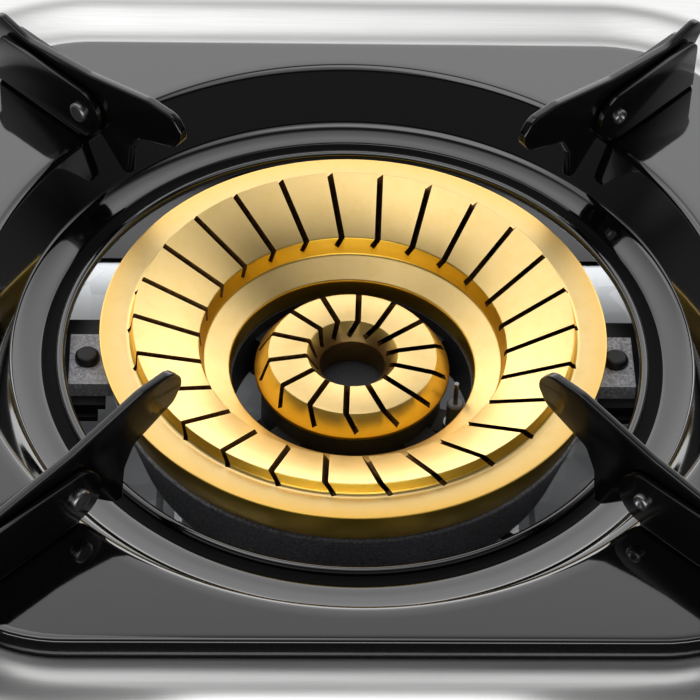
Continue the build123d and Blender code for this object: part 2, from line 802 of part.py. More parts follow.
blade_outline = [
    (tip_radius, tip_z),
    (tip_crown_radius, tip_crown_z),
    (crown_end_radius, crown_end_z),
    (waist_radius, waist_z),
    (tail_top_radius, tail_top_z),
    (tail_crown_radius, tail_crown_z),
    (tail_radius, tail_z),
    (tail_under_radius, tail_under_z),
    (heel_radius, heel_z),
    (knee_radius, knee_z),
    (leg_outer_radius, blade_foot_z + leg_outer_radius - foot_radius),
    (foot_radius, blade_foot_z),
    (foot_radius - leg_width, blade_foot_z),
    (leg_inner_radius, leg_inner_z),
    (jaw_radius, jaw_z),
    (chin_radius, chin_z),
]
blade_rounds = {
    tip_round: [(tip_radius, tip_z), (chin_radius, chin_z)],
    soft_round: [
        (tip_crown_radius, tip_crown_z),
        (crown_end_radius, crown_end_z),
        (tail_crown_radius, tail_crown_z),
        (tail_radius, tail_z),
        (tail_under_radius, tail_under_z),
    ],
    jaw_round: [(leg_inner_radius, leg_inner_z), (jaw_radius, jaw_z), (knee_radius, knee_z)],
    leg_round: [(foot_radius, blade_foot_z), (foot_radius - leg_width, blade_foot_z)],
}


def finger_plane(angle):
    """The upright middle plane of one finger: radius along its first axis, height over the tray along its second."""
    out = (cos(radians(angle)), sin(radians(angle)), 0)
    return Plane(origin=(0, burner_y, tray_top_z), x_dir=out, z_dir=(out[1], -out[0], 0))


cheek_top_middle = (cheek_rear_radius + pivot_radius) / 2

for name, angle in zip(finger_names, finger_angles):
    middle = finger_plane(angle)

    with BuildPart() as pan_finger:
        with BuildSketch(middle) as blade:
            with BuildLine():
                Polyline(*blade_outline, close=True)
            make_face()
            for round_radius, places in blade_rounds.items():
                fillet(corners_near(blade, *places), round_radius)
            with Locations((pivot_radius, pivot_z)):
                Circle(rivet_radius + running_clearance, mode=Mode.SUBTRACT)
        extrude(amount=blade_thickness / 2, both=True)
        side_faces = pan_finger.faces().filter_by(Axis(middle.origin, middle.z_dir))
        fillet([wire_edge for face in side_faces for wire_edge in face.outer_wire().edges()], blade_edge_round)
    pan_finger.part.label = "pan_finger_" + name
    export_step(pan_finger.part, "parts/pan_finger_" + name + ".step")

    with BuildPart() as finger_bracket:
        for side in (-1, 1):
            with BuildSketch(middle.offset(side * (cheek_gap + cheek_thickness) / 2)) as cheek:
                with Locations((cheek_top_middle, cheek_height / 2)):
                    Rectangle(cheek_rear_radius - pivot_radius, cheek_height)
                fillet(corners_near(cheek, (cheek_rear_radius, cheek_height)), cheek_rear_round)
                with Locations((pivot_radius, cheek_height - cheek_nose)):
                    Circle(cheek_nose)
                with Locations((pivot_radius, pivot_z)):
                    Circle(rivet_radius, mode=Mode.SUBTRACT)
            extrude(amount=cheek_thickness / 2, both=True)
        with BuildSketch(middle):
            with Locations(((cheek_rear_radius + web_front_radius) / 2, cheek_thickness / 2)):
                Rectangle(cheek_rear_radius - web_front_radius, cheek_thickness)
        extrude(amount=cheek_gap / 2 + cheek_thickness, both=True)
    finger_bracket.part.label = "finger_bracket_" + name
    export_step(finger_bracket.part, "parts/finger_bracket_" + name + ".step")

    half_width = cheek_gap / 2 + cheek_thickness
    with BuildPart() as finger_rivet:
        with BuildSketch(middle.offset(-half_width)):
            with Locations((pivot_radius, pivot_z)):
                Circle(rivet_radius)
        extrude(amount=2 * half_width)
        with BuildSketch(middle.offset(-half_width)):
            with Locations((pivot_radius, pivot_z)):
                Circle(rivet_head_radius)
        extrude(amount=-rivet_head_height)
        head_rim = finger_rivet.edges().filter_by(GeomType.CIRCLE).sort_by(Axis(middle.origin, middle.z_dir))[0]
        fillet(head_rim, rivet_head_round)
        with BuildSketch(middle.offset(half_width)):
            with Locations((pivot_radius, pivot_z)):
                Circle(rivet_tail_radius)
        extrude(amount=rivet_tail_height)
        with BuildSketch(middle.offset(half_width + rivet_tail_height)):
            with Locations((pivot_radius, pivot_z)):
                Circle(rivet_tail_bore)
        extrude(amount=-rivet_tail_depth, mode=Mode.SUBTRACT)
    finger_rivet.part.label = "finger_rivet_" + name
    export_step(finger_rivet.part, "parts/finger_rivet_" + name + ".step")


def folded_sheet(points, thickness):
    """Close the outline of a bent sheet: its upper face as given and its lower face, mitred at each bend."""
    path = [Vector(*point) for point in points]
    lower = []
    for index, here in enumerate(path):
        before = path[max(index - 1, 0)]
        after = path[min(index + 1, len(path) - 1)]
        arriving = here - before if index else after - here
        leaving = after - here if index < len(path) - 1 else here - before
        normal_in = Vector(arriving.Y, -arriving.X).normalized()
        normal_out = Vector(leaving.Y, -leaving.X).normalized()
        lower.append(here + (normal_in + normal_out) * (thickness / (1 + normal_in.dot(normal_out))))
    return path + lower[::-1]


# Burner brackets: left and right shelves welded under the recess, which carry the ears of the casting
shelf_sheet = 1.6
shelf_ear_overlap = 4.9
shelf_length = 24.5
shelf_slope_width = 10.0
shelf_flange = 14.0
shelf_front_y = -12.2
shelf_width = 31.0
shelf_lip_inset = 2.0
shelf_lip_drop = 4.5
shelf_hem = 1.5
shelf_inner_x = ear_screw_x - shelf_ear_overlap
shelf_lip_inner_x = shelf_inner_x + shelf_lip_inset
shelf_bend_x = shelf_inner_x + shelf_length
shelf_top_x = shelf_bend_x + shelf_slope_width
shelf_outer_x = shelf_top_x + shelf_flange
shelf_top_z = recess_under_z - tray_top_z

for side, name in ((-1, "left"), (1, "right")):
    with BuildPart() as burner_bracket:
        front_edge = Plane(
            origin=(0, burner_y + shelf_front_y, tray_top_z),
            x_dir=(side, 0, 0),
            z_dir=(0, -side, 0),
        )
        with BuildSketch(front_edge):
            with BuildLine():
                Polyline(
                    *folded_sheet(
                        [
                            (shelf_inner_x, ear_bottom_z),
                            (shelf_bend_x, ear_bottom_z),
                            (shelf_top_x, shelf_top_z),
                            (shelf_outer_x, shelf_top_z),
                        ],
                        shelf_sheet,
                    ),
                    close=True,
                )
            make_face()
        extrude(amount=-side * shelf_width)
        with BuildSketch(front_edge):
            with Locations(((shelf_lip_inner_x + shelf_bend_x) / 2, ear_bottom_z)):
                Rectangle(
                    shelf_bend_x - shelf_lip_inner_x,
                    shelf_lip_drop,
                    align=(Align.CENTER, Align.MAX),
                )
        extrude(amount=-side * shelf_sheet)
        with BuildSketch(front_edge.offset(side * shelf_hem)):
            with Locations(((shelf_lip_inner_x + shelf_bend_x) / 2, ear_bottom_z - shelf_lip_drop)):
                Rectangle(
                    shelf_bend_x - shelf_lip_inner_x,
                    shelf_hem,
                    align=(Align.CENTER, Align.MIN),
                )
        extrude(amount=-side * shelf_hem)
        with BuildSketch(burner_plane.offset(ear_bottom_z)):
            with Locations((side * ear_screw_x, 0)):
                Circle(ear_screw_radius + running_clearance)
        extrude(amount=-(shelf_sheet + overrun), mode=Mode.SUBTRACT)
    burner_bracket.part.label = "burner_bracket_" + name
    export_step(burner_bracket.part, "parts/burner_bracket_" + name + ".step")


def screw(place, seat_z, head_radius, head_height, shaft_radius, shaft_length, down=True):
    """A domed screw at a place on the plan, its head on a seat and its shaft through it."""
    way = 1 if down else -1
    with BuildPart() as one:
        with BuildSketch(Plane.XY.offset(seat_z)):
            with Locations(place):
                Circle(head_radius)
        extrude(amount=way * head_height)
        rim = one.edges().filter_by(GeomType.CIRCLE).sort_by(Axis.Z)[-1 if down else 0]
        fillet(rim, head_height * screw_dome_share)
        with BuildSketch(Plane.XY.offset(seat_z)):
            with Locations(place):
                Circle(shaft_radius)
        extrude(amount=-way * shaft_length)
    return one.part


# Screws: two through the ears, four of each foot, six round the pan, and four for the valve bracket
screw_dome_share = 0.6
ear_screw_head = 3.2
ear_screw_head_height = 2.2
ear_screw_length = 8.0
pan_screw_head = 3.0
pan_screw_head_height = 1.6
pan_screw_length = 5.0
foot_screw_head = 4.2
foot_screw_head_height = 2.6
foot_bore_radius = 5.5
foot_bore_depth = 8.0
foot_screw_reach = 4.0

with BuildPart() as burner_screws:
    for side in (-1, 1):
        add(
            screw(
                (side * ear_screw_x, burner_y),
                tray_top_z + ear_bottom_z + ear_thickness,
                ear_screw_head,
                ear_screw_head_height,
                ear_screw_radius,
                ear_screw_length,
            )
        )

burner_screws.part.label = "burner_screws"
export_step(burner_screws.part, "parts/burner_screws.step")

with BuildPart() as base_screws:
    for place in pan_screw_places + front_screw_places:
        add(
            screw(
                place,
                foot_height,
                pan_screw_head,
                pan_screw_head_height,
                screw_radius,
                pan_screw_length,
                down=False,
            )
        )

base_screws.part.label = "base_screws"
export_step(base_screws.part, "parts/base_screws.step")


# Rubber feet, tapered and bored from below for their screws
foot_base_radius = 11.0
foot_taper = 6.0

with BuildPart() as rubber_feet:
    with BuildSketch():
        with Locations(*foot_places):
            Circle(foot_base_radius)
    extrude(amount=foot_height, taper=foot_taper)
    with BuildSketch():
        with Locations(*foot_places):
            Circle(foot_bore_radius)
    extrude(amount=foot_bore_depth, mode=Mode.SUBTRACT)
    with BuildSketch():
        with Locations(*foot_places):
            Circle(foot_screw_radius + running_clearance)
    extrude(amount=foot_height, mode=Mode.SUBTRACT)

rubber_feet.part.label = "rubber_feet"
export_step(rubber_feet.part, "parts/rubber_feet.step")

with BuildPart() as foot_screws:
    for place in foot_places:
        add(
            screw(
                place,
                foot_bore_depth,
                foot_screw_head,
                foot_screw_head_height,
                foot_screw_radius,
                foot_height - foot_bore_depth + foot_screw_reach,
                down=False,
            )
        )

foot_screws.part.label = "foot_screws"
export_step(foot_screws.part, "parts/foot_screws.step")


# Gas train: the push-and-turn tap, its valve with a manifold for two injectors, and the pipe to the rear
knob_travel = 3.5
knob_air = 0.7
bezel_bore = 8.0
bezel_thickness = 2.0
bezel_chamfer = 0.8
bezel_ring = 4.0
knob_step = 6.0
knob_skirt_depth = 5.0
knob_grip_depth = 12.0
knob_bar_width = 11.0
knob_bar_overhang = 3.0
knob_bar_share = 0.45
knob_edge_round = 1.0
knob_wall = 2.0
knob_hub_radius = 7.0
spindle_radius = 4.0
spindle_flat = 1.2
spindle_front_depth = 6.0
spindle_flat_length = 12.0
flange_radius = 5.6
flange_gap = 1.0
flange_thickness = 1.4
collar_radius = 6.3
collar_thickness = 2.0
collar_seat = 0.2
spring_length = 7.0
spring_wire = 0.35
spring_turns = 3
spring_radius = 5.4
bonnet_across_flats = 24.0
bonnet_thickness = 3.0
bonnet_thread_radius = 8.0
bonnet_thread_length = 5.0
valve_radius = 13.0
valve_length = 32.0
block_half_width = 26.0
block_depth = 14.0
block_drop = 13.0
block_rise = 13.0
spindle_bore_depth = 15.5
spindle_reach = 11.5
port_boss_radius = 7.0
port_boss_length = 8.0
port_bore_radius = 3.5
port_bore_depth = 12.0
injector_thread_radius = 2.5
injector_thread_length = 4.5
injector_hex_across = 9.0
injector_hex_length = 3.4
injector_nozzle_radius = 3.2
injector_reach = 10.5
injector_jet_radii = (0.45, 0.3)
screw_pilot_depth = 5.0

knob_skirt_radius = bezel_radius - bezel_ring
knob_grip_radius = knob_skirt_radius - knob_step
knob_bar_length = 2 * (knob_grip_radius + knob_bar_overhang)
bezel_front_y = frame_front_y - bezel_thickness
knob_back_y = bezel_front_y - knob_travel - knob_air
knob_front_y = front_y - knob_projection
spindle_front_y = knob_back_y - spindle_front_depth
flange_front_y = panel_inner_y + flange_gap
collar_front_y = flange_front_y + flange_thickness + collar_seat
collar_back_y = collar_front_y + collar_thickness
bonnet_front_y = collar_back_y + spring_length
valve_front_y = bonnet_front_y + bonnet_thickness
valve_back_y = valve_front_y + valve_length
block_top_z = train_z + block_rise
block_bottom_z = train_z - block_drop
port_y = valve_back_y - block_depth / 2
spindle_back_y = valve_front_y + spindle_reach


def tap_face(y):
    """A plane across the tap's axis that looks to the front."""
    return Plane(origin=(0, y, train_z), x_dir=(1, 0, 0), z_dir=(0, -1, 0))


with BuildPart() as knob_bezel:
    with BuildSketch(tap_face(frame_front_y)):
        Circle(bezel_radius)
        Circle(bezel_bore, mode=Mode.SUBTRACT)
    extrude(amount=bezel_thickness)
    chamfer(knob_bezel.edges().filter_by(GeomType.CIRCLE).sort_by(SortBy.RADIUS)[-2:].sort_by(Axis.Y)[0], bezel_chamfer)

knob_bezel.part.label = "knob_bezel"
export_step(knob_bezel.part, "parts/knob_bezel.step")

with BuildPart() as knob:
    with BuildSketch(tap_face(knob_back_y)):
        Circle(knob_skirt_radius)
    extrude(amount=knob_skirt_depth)
    with BuildSketch(tap_face(knob_back_y)):
        Circle(knob_grip_radius)
    extrude(amount=knob_grip_depth)
    with BuildSketch(tap_face(knob_back_y)):
        RectangleRounded(knob_bar_width, knob_bar_length, knob_bar_width * knob_bar_share)
    extrude(amount=knob_back_y - knob_front_y)
    fillet(knob.faces().sort_by(Axis.Y)[0].edges(), knob_edge_round)
    with BuildSketch(tap_face(knob_back_y)):
        Circle(knob_grip_radius - knob_wall)
        Circle(knob_hub_radius, mode=Mode.SUBTRACT)
    extrude(amount=knob_grip_depth - knob_wall, mode=Mode.SUBTRACT)
    with BuildSketch(tap_face(knob_back_y)):
        Circle(spindle_radius + running_clearance)
        with Locations((0, spindle_radius - spindle_flat + running_clearance)):
            Rectangle(
                2 * knob_hub_radius,
                knob_hub_radius,
                align=(Align.CENTER, Align.MIN),
                mode=Mode.SUBTRACT,
            )
    extrude(amount=spindle_front_depth + running_clearance, mode=Mode.SUBTRACT)

knob.part.label = "knob"
export_step(knob.part, "parts/knob.step")

with BuildPart() as spindle:
    with BuildSketch(tap_face(spindle_back_y)):
        Circle(spindle_radius)
    extrude(amount=spindle_back_y - spindle_front_y)
    with BuildSketch(tap_face(flange_front_y + flange_thickness)):
        Circle(flange_radius)
    extrude(amount=flange_thickness)
    with BuildSketch(tap_face(spindle_front_y - overrun)):
        with Locations((0, spindle_radius - spindle_flat)):
            Rectangle(2 * spindle_radius, spindle_radius, align=(Align.CENTER, Align.MIN))
    extrude(amount=-(spindle_flat_length + overrun), mode=Mode.SUBTRACT)

spindle.part.label = "spindle"
export_step(spindle.part, "parts/spindle.step")

with BuildPart() as push_collar:
    with BuildSketch(tap_face(collar_back_y)):
        Circle(collar_radius)
        Circle(spindle_radius + running_clearance, mode=Mode.SUBTRACT)
    extrude(amount=collar_thickness)

push_collar.part.label = "push_collar"
export_step(push_collar.part, "parts/push_collar.step")

coil_pitch = (spring_length - 2 * (spring_wire + side_clearance)) / spring_turns
coil_height = coil_pitch * spring_turns
coil_start = (0, bonnet_front_y - spring_wire - side_clearance, train_z)

with BuildPart() as return_spring:
    with BuildLine() as coil:
        Helix(
            pitch=coil_pitch,
            height=coil_height,
            radius=spring_radius,
            center=coil_start,
            direction=(0, -1, 0),
        )
    with BuildSketch(Plane(origin=coil.line @ 0, z_dir=coil.line % 0)):
        Circle(spring_wire)
    sweep()

return_spring.part.label = "return_spring"
export_step(return_spring.part, "parts/return_spring.step")

with BuildPart() as valve_bonnet:
    with BuildSketch(tap_face(valve_front_y)):
        RegularPolygon(bonnet_across_flats / 2, 6, major_radius=False)
    extrude(amount=bonnet_thickness)
    with BuildSketch(tap_face(valve_front_y)):
        Circle(bonnet_thread_radius)
    extrude(amount=-bonnet_thread_length)
    with BuildSketch(tap_face(bonnet_front_y - overrun)):
        Circle(spindle_radius + running_clearance)
    extrude(amount=-(bonnet_thickness + bonnet_thread_length + 2 * overrun), mode=Mode.SUBTRACT)

valve_bonnet.part.label = "valve_bonnet"
export_step(valve_bonnet.part, "parts/valve_bonnet.step")

block_middle_z = (block_top_z + block_bottom_z) / 2

with BuildPart() as gas_valve:
    with BuildSketch(tap_face(valve_back_y)):
        Circle(valve_radius)
    extrude(amount=valve_length)
    with BuildSketch(Plane(origin=(0, valve_back_y, block_middle_z), x_dir=(1, 0, 0), z_dir=(0, -1, 0))):
        Rectangle(2 * block_half_width, block_rise + block_drop)
    extrude(amount=block_depth)
    with BuildSketch(Plane(origin=(-block_half_width, port_y, train_z), x_dir=(0, -1, 0), z_dir=(-1, 0, 0))):
        Circle(port_boss_radius)
    extrude(amount=port_boss_length)
    with BuildSketch(
        Plane(
            origin=(-block_half_width - port_boss_length, port_y, train_z),
            x_dir=(0, -1, 0),
            z_dir=(-1, 0, 0),
        )
    ):
        Circle(port_bore_radius)
    extrude(amount=-port_bore_depth, mode=Mode.SUBTRACT)
    with BuildSketch(tap_face(valve_front_y)):
        Circle(bonnet_thread_radius + running_clearance)
    extrude(amount=-(bonnet_thread_length + running_clearance), mode=Mode.SUBTRACT)
    with BuildSketch(tap_face(valve_front_y)):
        Circle(spindle_radius + running_clearance)
    extrude(amount=-spindle_bore_depth, mode=Mode.SUBTRACT)
    with BuildSketch(tap_face(valve_back_y)):
        with Locations((-tube_offset, 0), (tube_offset, 0)):
            Circle(injector_thread_radius + running_clearance)
    extrude(amount=injector_thread_length + running_clearance, mode=Mode.SUBTRACT)
    with BuildSketch(Plane.XY.offset(block_bottom_z)):
        with Locations(*valve_block_places):
            Circle(screw_radius + running_clearance)
    extrude(amount=screw_pilot_depth, mode=Mode.SUBTRACT)

gas_valve.part.label = "gas_valve"
export_step(gas_valve.part, "parts/gas_valve.step")


# Valve bracket: a folded strip from the pan to the underside of the manifold block, with four screws
bracket_sheet = 1.5
bracket_half_width = 17.0
bracket_foot_setback = 15.0
bracket_rise_setback = 33.0
block_screw_reach = 4.0

with BuildPart() as valve_bracket:
    with BuildSketch(Plane(origin=(-bracket_half_width, 0, 0), x_dir=(0, 1, 0), z_dir=(1, 0, 0))):
        with BuildLine():
            Polyline(
                *folded_sheet(
                    [
                        (front_y + bracket_foot_setback, pan_top_z + bracket_sheet),
                        (front_y + bracket_rise_setback, pan_top_z + bracket_sheet),
                        (front_y + bracket_rise_setback, block_bottom_z),
                        (valve_back_y, block_bottom_z),
                    ],
                    bracket_sheet,
                ),
                close=True,
            )
        make_face()
    extrude(amount=2 * bracket_half_width)
    with BuildSketch(Plane.XY.offset(foot_height)):
        with Locations(*valve_foot_places, *valve_block_places):
            Circle(screw_radius + running_clearance)
    extrude(amount=train_z, mode=Mode.SUBTRACT)

valve_bracket.part.label = "valve_bracket"
export_step(valve_bracket.part, "parts/valve_bracket.step")

with BuildPart() as valve_screws:
    for places, seat_z, length in (
        (valve_foot_places, foot_height, pan_screw_length),
        (valve_block_places, block_bottom_z - bracket_sheet, bracket_sheet + block_screw_reach),
    ):
        for place in places:
            add(
                screw(
                    place,
                    seat_z,
                    pan_screw_head,
                    pan_screw_head_height,
                    screw_radius,
                    length,
                    down=False,
                )
            )

valve_screws.part.label = "valve_screws"
export_step(valve_screws.part, "parts/valve_screws.step")

for tube_x, jet_radius, name in (
    (tube_offset, injector_jet_radii[0], "outer"),
    (-tube_offset, injector_jet_radii[1], "inner"),
):
    injector_face = Plane(origin=(tube_x, valve_back_y, train_z), x_dir=(-1, 0, 0), z_dir=(0, 1, 0))
    with BuildPart() as injector:
        with BuildSketch(injector_face):
            Circle(injector_thread_radius)
        extrude(amount=-injector_thread_length)
        with BuildSketch(injector_face):
            RegularPolygon(injector_hex_across / 2, 6, major_radius=False)
        extrude(amount=injector_hex_length)
        with BuildSketch(injector_face):
            Circle(injector_nozzle_radius)
        extrude(amount=injector_reach)
        with BuildSketch(injector_face.offset(-injector_thread_length)):
            Circle(injector_thread_radius / 2)
        extrude(amount=injector_thread_length + injector_hex_length, mode=Mode.SUBTRACT)
        with BuildSketch(injector_face):
            Circle(jet_radius)
        extrude(amount=injector_reach, mode=Mode.SUBTRACT)
    injector.part.label = "injector_" + name
    export_step(injector.part, "parts/injector_" + name + ".step")


# Gas pipe: steel tube from the valve's left port along the left side to the hose nozzle at the rear
pipe_radius = 4.75
pipe_wall = 0.9
pipe_bend_radius = 22.0
nut_across_flats = 15.0
nut_length = 9.0
nozzle_flange_across = 19.0
nozzle_flange_length = 6.0
nozzle_thread_length = 12.0
nozzle_nut_across = 19.0
nozzle_nut_length = 5.0
nozzle_land_radius = 4.75
nozzle_land_length = 12.0
nozzle_barb_radius = 5.7
nozzle_barb_length = 5.0
nozzle_bore_radius = 3.0

pipe_start_x = -block_half_width - port_boss_length
nozzle_inner_y = frame_rear_y - sheet - nozzle_thread_length
nozzle_tip_y = rear_y + nozzle_projection
inlet_plane = Plane(origin=(inlet_x, frame_rear_y, train_z), x_dir=(-1, 0, 0), z_dir=(0, 1, 0))

with BuildPart() as gas_pipe:
    with BuildLine() as pipe_route:
        Polyline(
            (pipe_start_x, port_y, train_z),
            (inlet_x, port_y, train_z),
            (inlet_x, nozzle_inner_y, train_z),
        )
        fillet(pipe_route.vertices().sort_by_distance((inlet_x, port_y, train_z))[0], pipe_bend_radius)
    with BuildSketch(Plane(origin=(pipe_start_x, port_y, train_z), x_dir=(0, 1, 0), z_dir=(-1, 0, 0))):
        Circle(pipe_radius)
        Circle(pipe_radius - pipe_wall, mode=Mode.SUBTRACT)
    sweep(path=pipe_route.wire())

gas_pipe.part.label = "gas_pipe"
export_step(gas_pipe.part, "parts/gas_pipe.step")

with BuildPart() as pipe_nut:
    with BuildSketch(Plane(origin=(pipe_start_x, port_y, train_z), x_dir=(0, 1, 0), z_dir=(-1, 0, 0))):
        RegularPolygon(nut_across_flats / 2, 6, major_radius=False)
        Circle(pipe_radius + running_clearance, mode=Mode.SUBTRACT)
    extrude(amount=nut_length)

pipe_nut.part.label = "pipe_nut"
export_step(pipe_nut.part, "parts/pipe_nut.step")

with BuildPart() as hose_nozzle:
    with BuildSketch(inlet_plane):
        RegularPolygon(nozzle_flange_across / 2, 6, major_radius=False)
    extrude(amount=nozzle_flange_length)
    with BuildSketch(inlet_plane):
        Circle(nozzle_thread_radius)
    extrude(amount=-(sheet + nozzle_thread_length))
    with BuildSketch(inlet_plane):
        Circle(nozzle_land_radius)
    extrude(amount=nozzle_tip_y - frame_rear_y)
    barb_base = nozzle_tip_y - nozzle_land_length - frame_rear_y - nozzle_barb_length
    with BuildSketch(inlet_plane.offset(barb_base)):
        Circle(nozzle_barb_radius)
    with BuildSketch(inlet_plane.offset(barb_base + nozzle_barb_length)):
        Circle(nozzle_land_radius)
    loft()
    with BuildSketch(inlet_plane.offset(nozzle_tip_y - frame_rear_y)):
        Circle(nozzle_bore_radius)
    extrude(amount=-(nozzle_tip_y - nozzle_inner_y), mode=Mode.SUBTRACT)

hose_nozzle.part.label = "hose_nozzle"
export_step(hose_nozzle.part, "parts/hose_nozzle.step")

with BuildPart() as hose_nozzle_nut:
    with BuildSketch(inlet_plane.offset(-sheet)):
        RegularPolygon(nozzle_nut_across / 2, 6, major_radius=False)
        Circle(nozzle_thread_radius + running_clearance, mode=Mode.SUBTRACT)
    extrude(amount=-nozzle_nut_length)

hose_nozzle_nut.part.label = "hose_nozzle_nut"
export_step(hose_nozzle_nut.part, "parts/hose_nozzle_nut.step")


# Air shutters: slotted sleeves that turn on the mouths of the two mixing tubes
shutter_wall = 1.3
shutter_lever_width = 5.0
shutter_lever_length = 7.0

for tube_x, name in ((tube_offset, "outer"), (-tube_offset, "inner")):
    shutter_bore = mouth_radius + running_clearance
    mouth_plane = Plane(origin=(tube_x, burner_y - mouth_reach, train_z), x_dir=(-1, 0, 0), z_dir=(0, 1, 0))
    with BuildPart() as air_shutter:
        with BuildSketch(mouth_plane):
            Circle(shutter_bore + shutter_wall)
            with Locations((0, -shutter_bore)):
                Rectangle(
                    shutter_lever_width,
                    shutter_wall + shutter_lever_length,
                    align=(Align.CENTER, Align.MAX),
                )
            Circle(shutter_bore, mode=Mode.SUBTRACT)
        extrude(amount=mouth_length)
        with BuildSketch(mouth_plane.offset(shutter_wall)):
            with Locations((0, -shutter_bore - shutter_wall)):
                Rectangle(
                    2 * shutter_lever_width,
                    2 * shutter_lever_length,
                    align=(Align.CENTER, Align.MAX),
                )
        extrude(amount=mouth_length, mode=Mode.SUBTRACT)
        with BuildSketch(mouth_plane.offset((mouth_length - window_length) / 2)):
            with PolarLocations(shutter_bore, window_count, start_angle=90):
                Rectangle(2 * (shutter_wall + running_clearance), window_width)
        extrude(amount=window_length, mode=Mode.SUBTRACT)
    air_shutter.part.label = "air_shutter_" + name
    export_step(air_shutter.part, "parts/air_shutter_" + name + ".step")


# Ignition: a ceramic-cased electrode in the ring gap, its clip, the spark unit on the valve and the lead
electrode_radians = radians(electrode_angle)
electrode_x = electrode_radius * cos(electrode_radians)
electrode_y = burner_y + electrode_radius * sin(electrode_radians)
ceramic_base_z = 48.0
ceramic_top_z = -22.0
ceramic_edge = 0.4
pin_radius = 0.6
pin_tip_z = -15.0
clip_radius = 2.8
clip_thickness = 0.8
igniter_width = 16.0
igniter_length = 26.0
igniter_height = 13.0
igniter_edge = 1.5
lead_radius = 1.3
lead_side_x = 48.0
lead_low_z = pan_top_z + rib_height + lead_radius + seat_gap
lead_bend_share = 0.45
igniter_middle_y = valve_back_y - igniter_length / 2
lead_high_z = block_top_z + igniter_height / 2

with BuildPart() as electrode_insulator:
    with BuildSketch(Plane.XY.offset(ceramic_base_z)):
        with Locations((electrode_x, electrode_y)):
            Circle(ceramic_radius)
    extrude(amount=tray_top_z + ceramic_top_z - ceramic_base_z)
    chamfer(electrode_insulator.edges().filter_by(GeomType.CIRCLE), ceramic_edge)
    with BuildSketch(Plane.XY.offset(ceramic_base_z)):
        with Locations((electrode_x, electrode_y)):
            Circle(pin_radius + running_clearance)
    extrude(amount=tray_top_z, mode=Mode.SUBTRACT)

electrode_insulator.part.label = "electrode_insulator"
export_step(electrode_insulator.part, "parts/electrode_insulator.step")

with BuildPart() as electrode_pin:
    with BuildSketch(Plane.XY.offset(ceramic_base_z)):
        with Locations((electrode_x, electrode_y)):
            Circle(pin_radius)
    extrude(amount=tray_top_z + pin_tip_z - ceramic_base_z)

electrode_pin.part.label = "electrode_pin"
export_step(electrode_pin.part, "parts/electrode_pin.step")

with BuildPart() as electrode_clip:
    with BuildSketch(Plane.XY.offset(tray_top_z + lug_top_z)):
        with Locations((electrode_x, electrode_y)):
            Circle(clip_radius)
            Circle(ceramic_radius + running_clearance, mode=Mode.SUBTRACT)
    extrude(amount=clip_thickness)

electrode_clip.part.label = "electrode_clip"
export_step(electrode_clip.part, "parts/electrode_clip.step")

with BuildPart() as igniter_unit:
    with BuildSketch(Plane.XY.offset(block_top_z)):
        with Locations((0, igniter_middle_y)):
            Rectangle(igniter_width, igniter_length)
    extrude(amount=igniter_height)
    upper_edges = igniter_unit.faces().sort_by(Axis.Z)[-1].edges()
    fillet(upper_edges + igniter_unit.edges().filter_by(Axis.Z), igniter_edge)

igniter_unit.part.label = "igniter_unit"
export_step(igniter_unit.part, "parts/igniter_unit.step")

lead_corners = [
    (igniter_width / 2, igniter_middle_y, lead_high_z),
    (lead_side_x, igniter_middle_y, lead_high_z),
    (lead_side_x, igniter_middle_y, lead_low_z),
    (lead_side_x, electrode_y, lead_low_z),
    (electrode_x, electrode_y, lead_low_z),
    (electrode_x, electrode_y, ceramic_base_z),
]

with BuildPart() as ignition_lead:
    with BuildLine() as lead_route:
        start = Vector(*lead_corners[0])
        for before, here, after in zip(lead_corners, lead_corners[1:], lead_corners[2:]):
            corner = Vector(*here)
            arriving = corner - Vector(*before)
            leaving = Vector(*after) - corner
            half_turn = radians(arriving.get_angle(leaving)) / 2
            setback = lead_bend_share * min(arriving.length, leaving.length)
            bend_radius = setback / tan(half_turn)
            inward = (leaving.normalized() - arriving.normalized()).normalized()
            bend_start = corner - arriving.normalized() * setback
            bend_end = corner + leaving.normalized() * setback
            bend_middle = corner + inward * bend_radius * (1 / cos(half_turn) - 1)
            Line(start, bend_start)
            ThreePointArc(bend_start, bend_middle, bend_end)
            start = bend_end
            print("lead bend radius", round(bend_radius, 1), "diameters", round(bend_radius / (2 * lead_radius), 1))
        Line(start, lead_corners[-1])
    with BuildSketch(Plane(origin=lead_corners[0], x_dir=(0, 1, 0), z_dir=(1, 0, 0))):
        Circle(lead_radius)
    sweep(path=lead_route.wire())

ignition_lead.part.label = "ignition_lead"
export_step(ignition_lead.part, "parts/ignition_lead.step")
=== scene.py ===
import math

import bmesh
import bpy
from mathutils import Matrix, Vector


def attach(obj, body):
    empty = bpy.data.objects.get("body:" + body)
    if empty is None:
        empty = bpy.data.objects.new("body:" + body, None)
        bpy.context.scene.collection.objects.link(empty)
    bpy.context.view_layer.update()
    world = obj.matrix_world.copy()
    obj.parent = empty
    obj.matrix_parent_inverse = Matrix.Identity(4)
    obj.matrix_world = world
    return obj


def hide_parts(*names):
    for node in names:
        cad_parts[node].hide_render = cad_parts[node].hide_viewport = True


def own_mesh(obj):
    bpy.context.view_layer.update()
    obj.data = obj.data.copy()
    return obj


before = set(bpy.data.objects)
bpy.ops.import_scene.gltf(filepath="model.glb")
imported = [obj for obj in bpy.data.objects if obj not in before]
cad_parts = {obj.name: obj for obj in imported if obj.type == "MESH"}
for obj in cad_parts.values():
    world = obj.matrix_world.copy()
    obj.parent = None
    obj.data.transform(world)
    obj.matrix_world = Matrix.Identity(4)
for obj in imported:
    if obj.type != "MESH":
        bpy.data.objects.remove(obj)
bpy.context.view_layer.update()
mm = 0.001
burnerY = 31.0      # burner axis, mm, as in the part
trayZ = 92.0        # top of the drip tray, mm
tapZ = 48.0         # height of the tap and the mixing tubes, mm
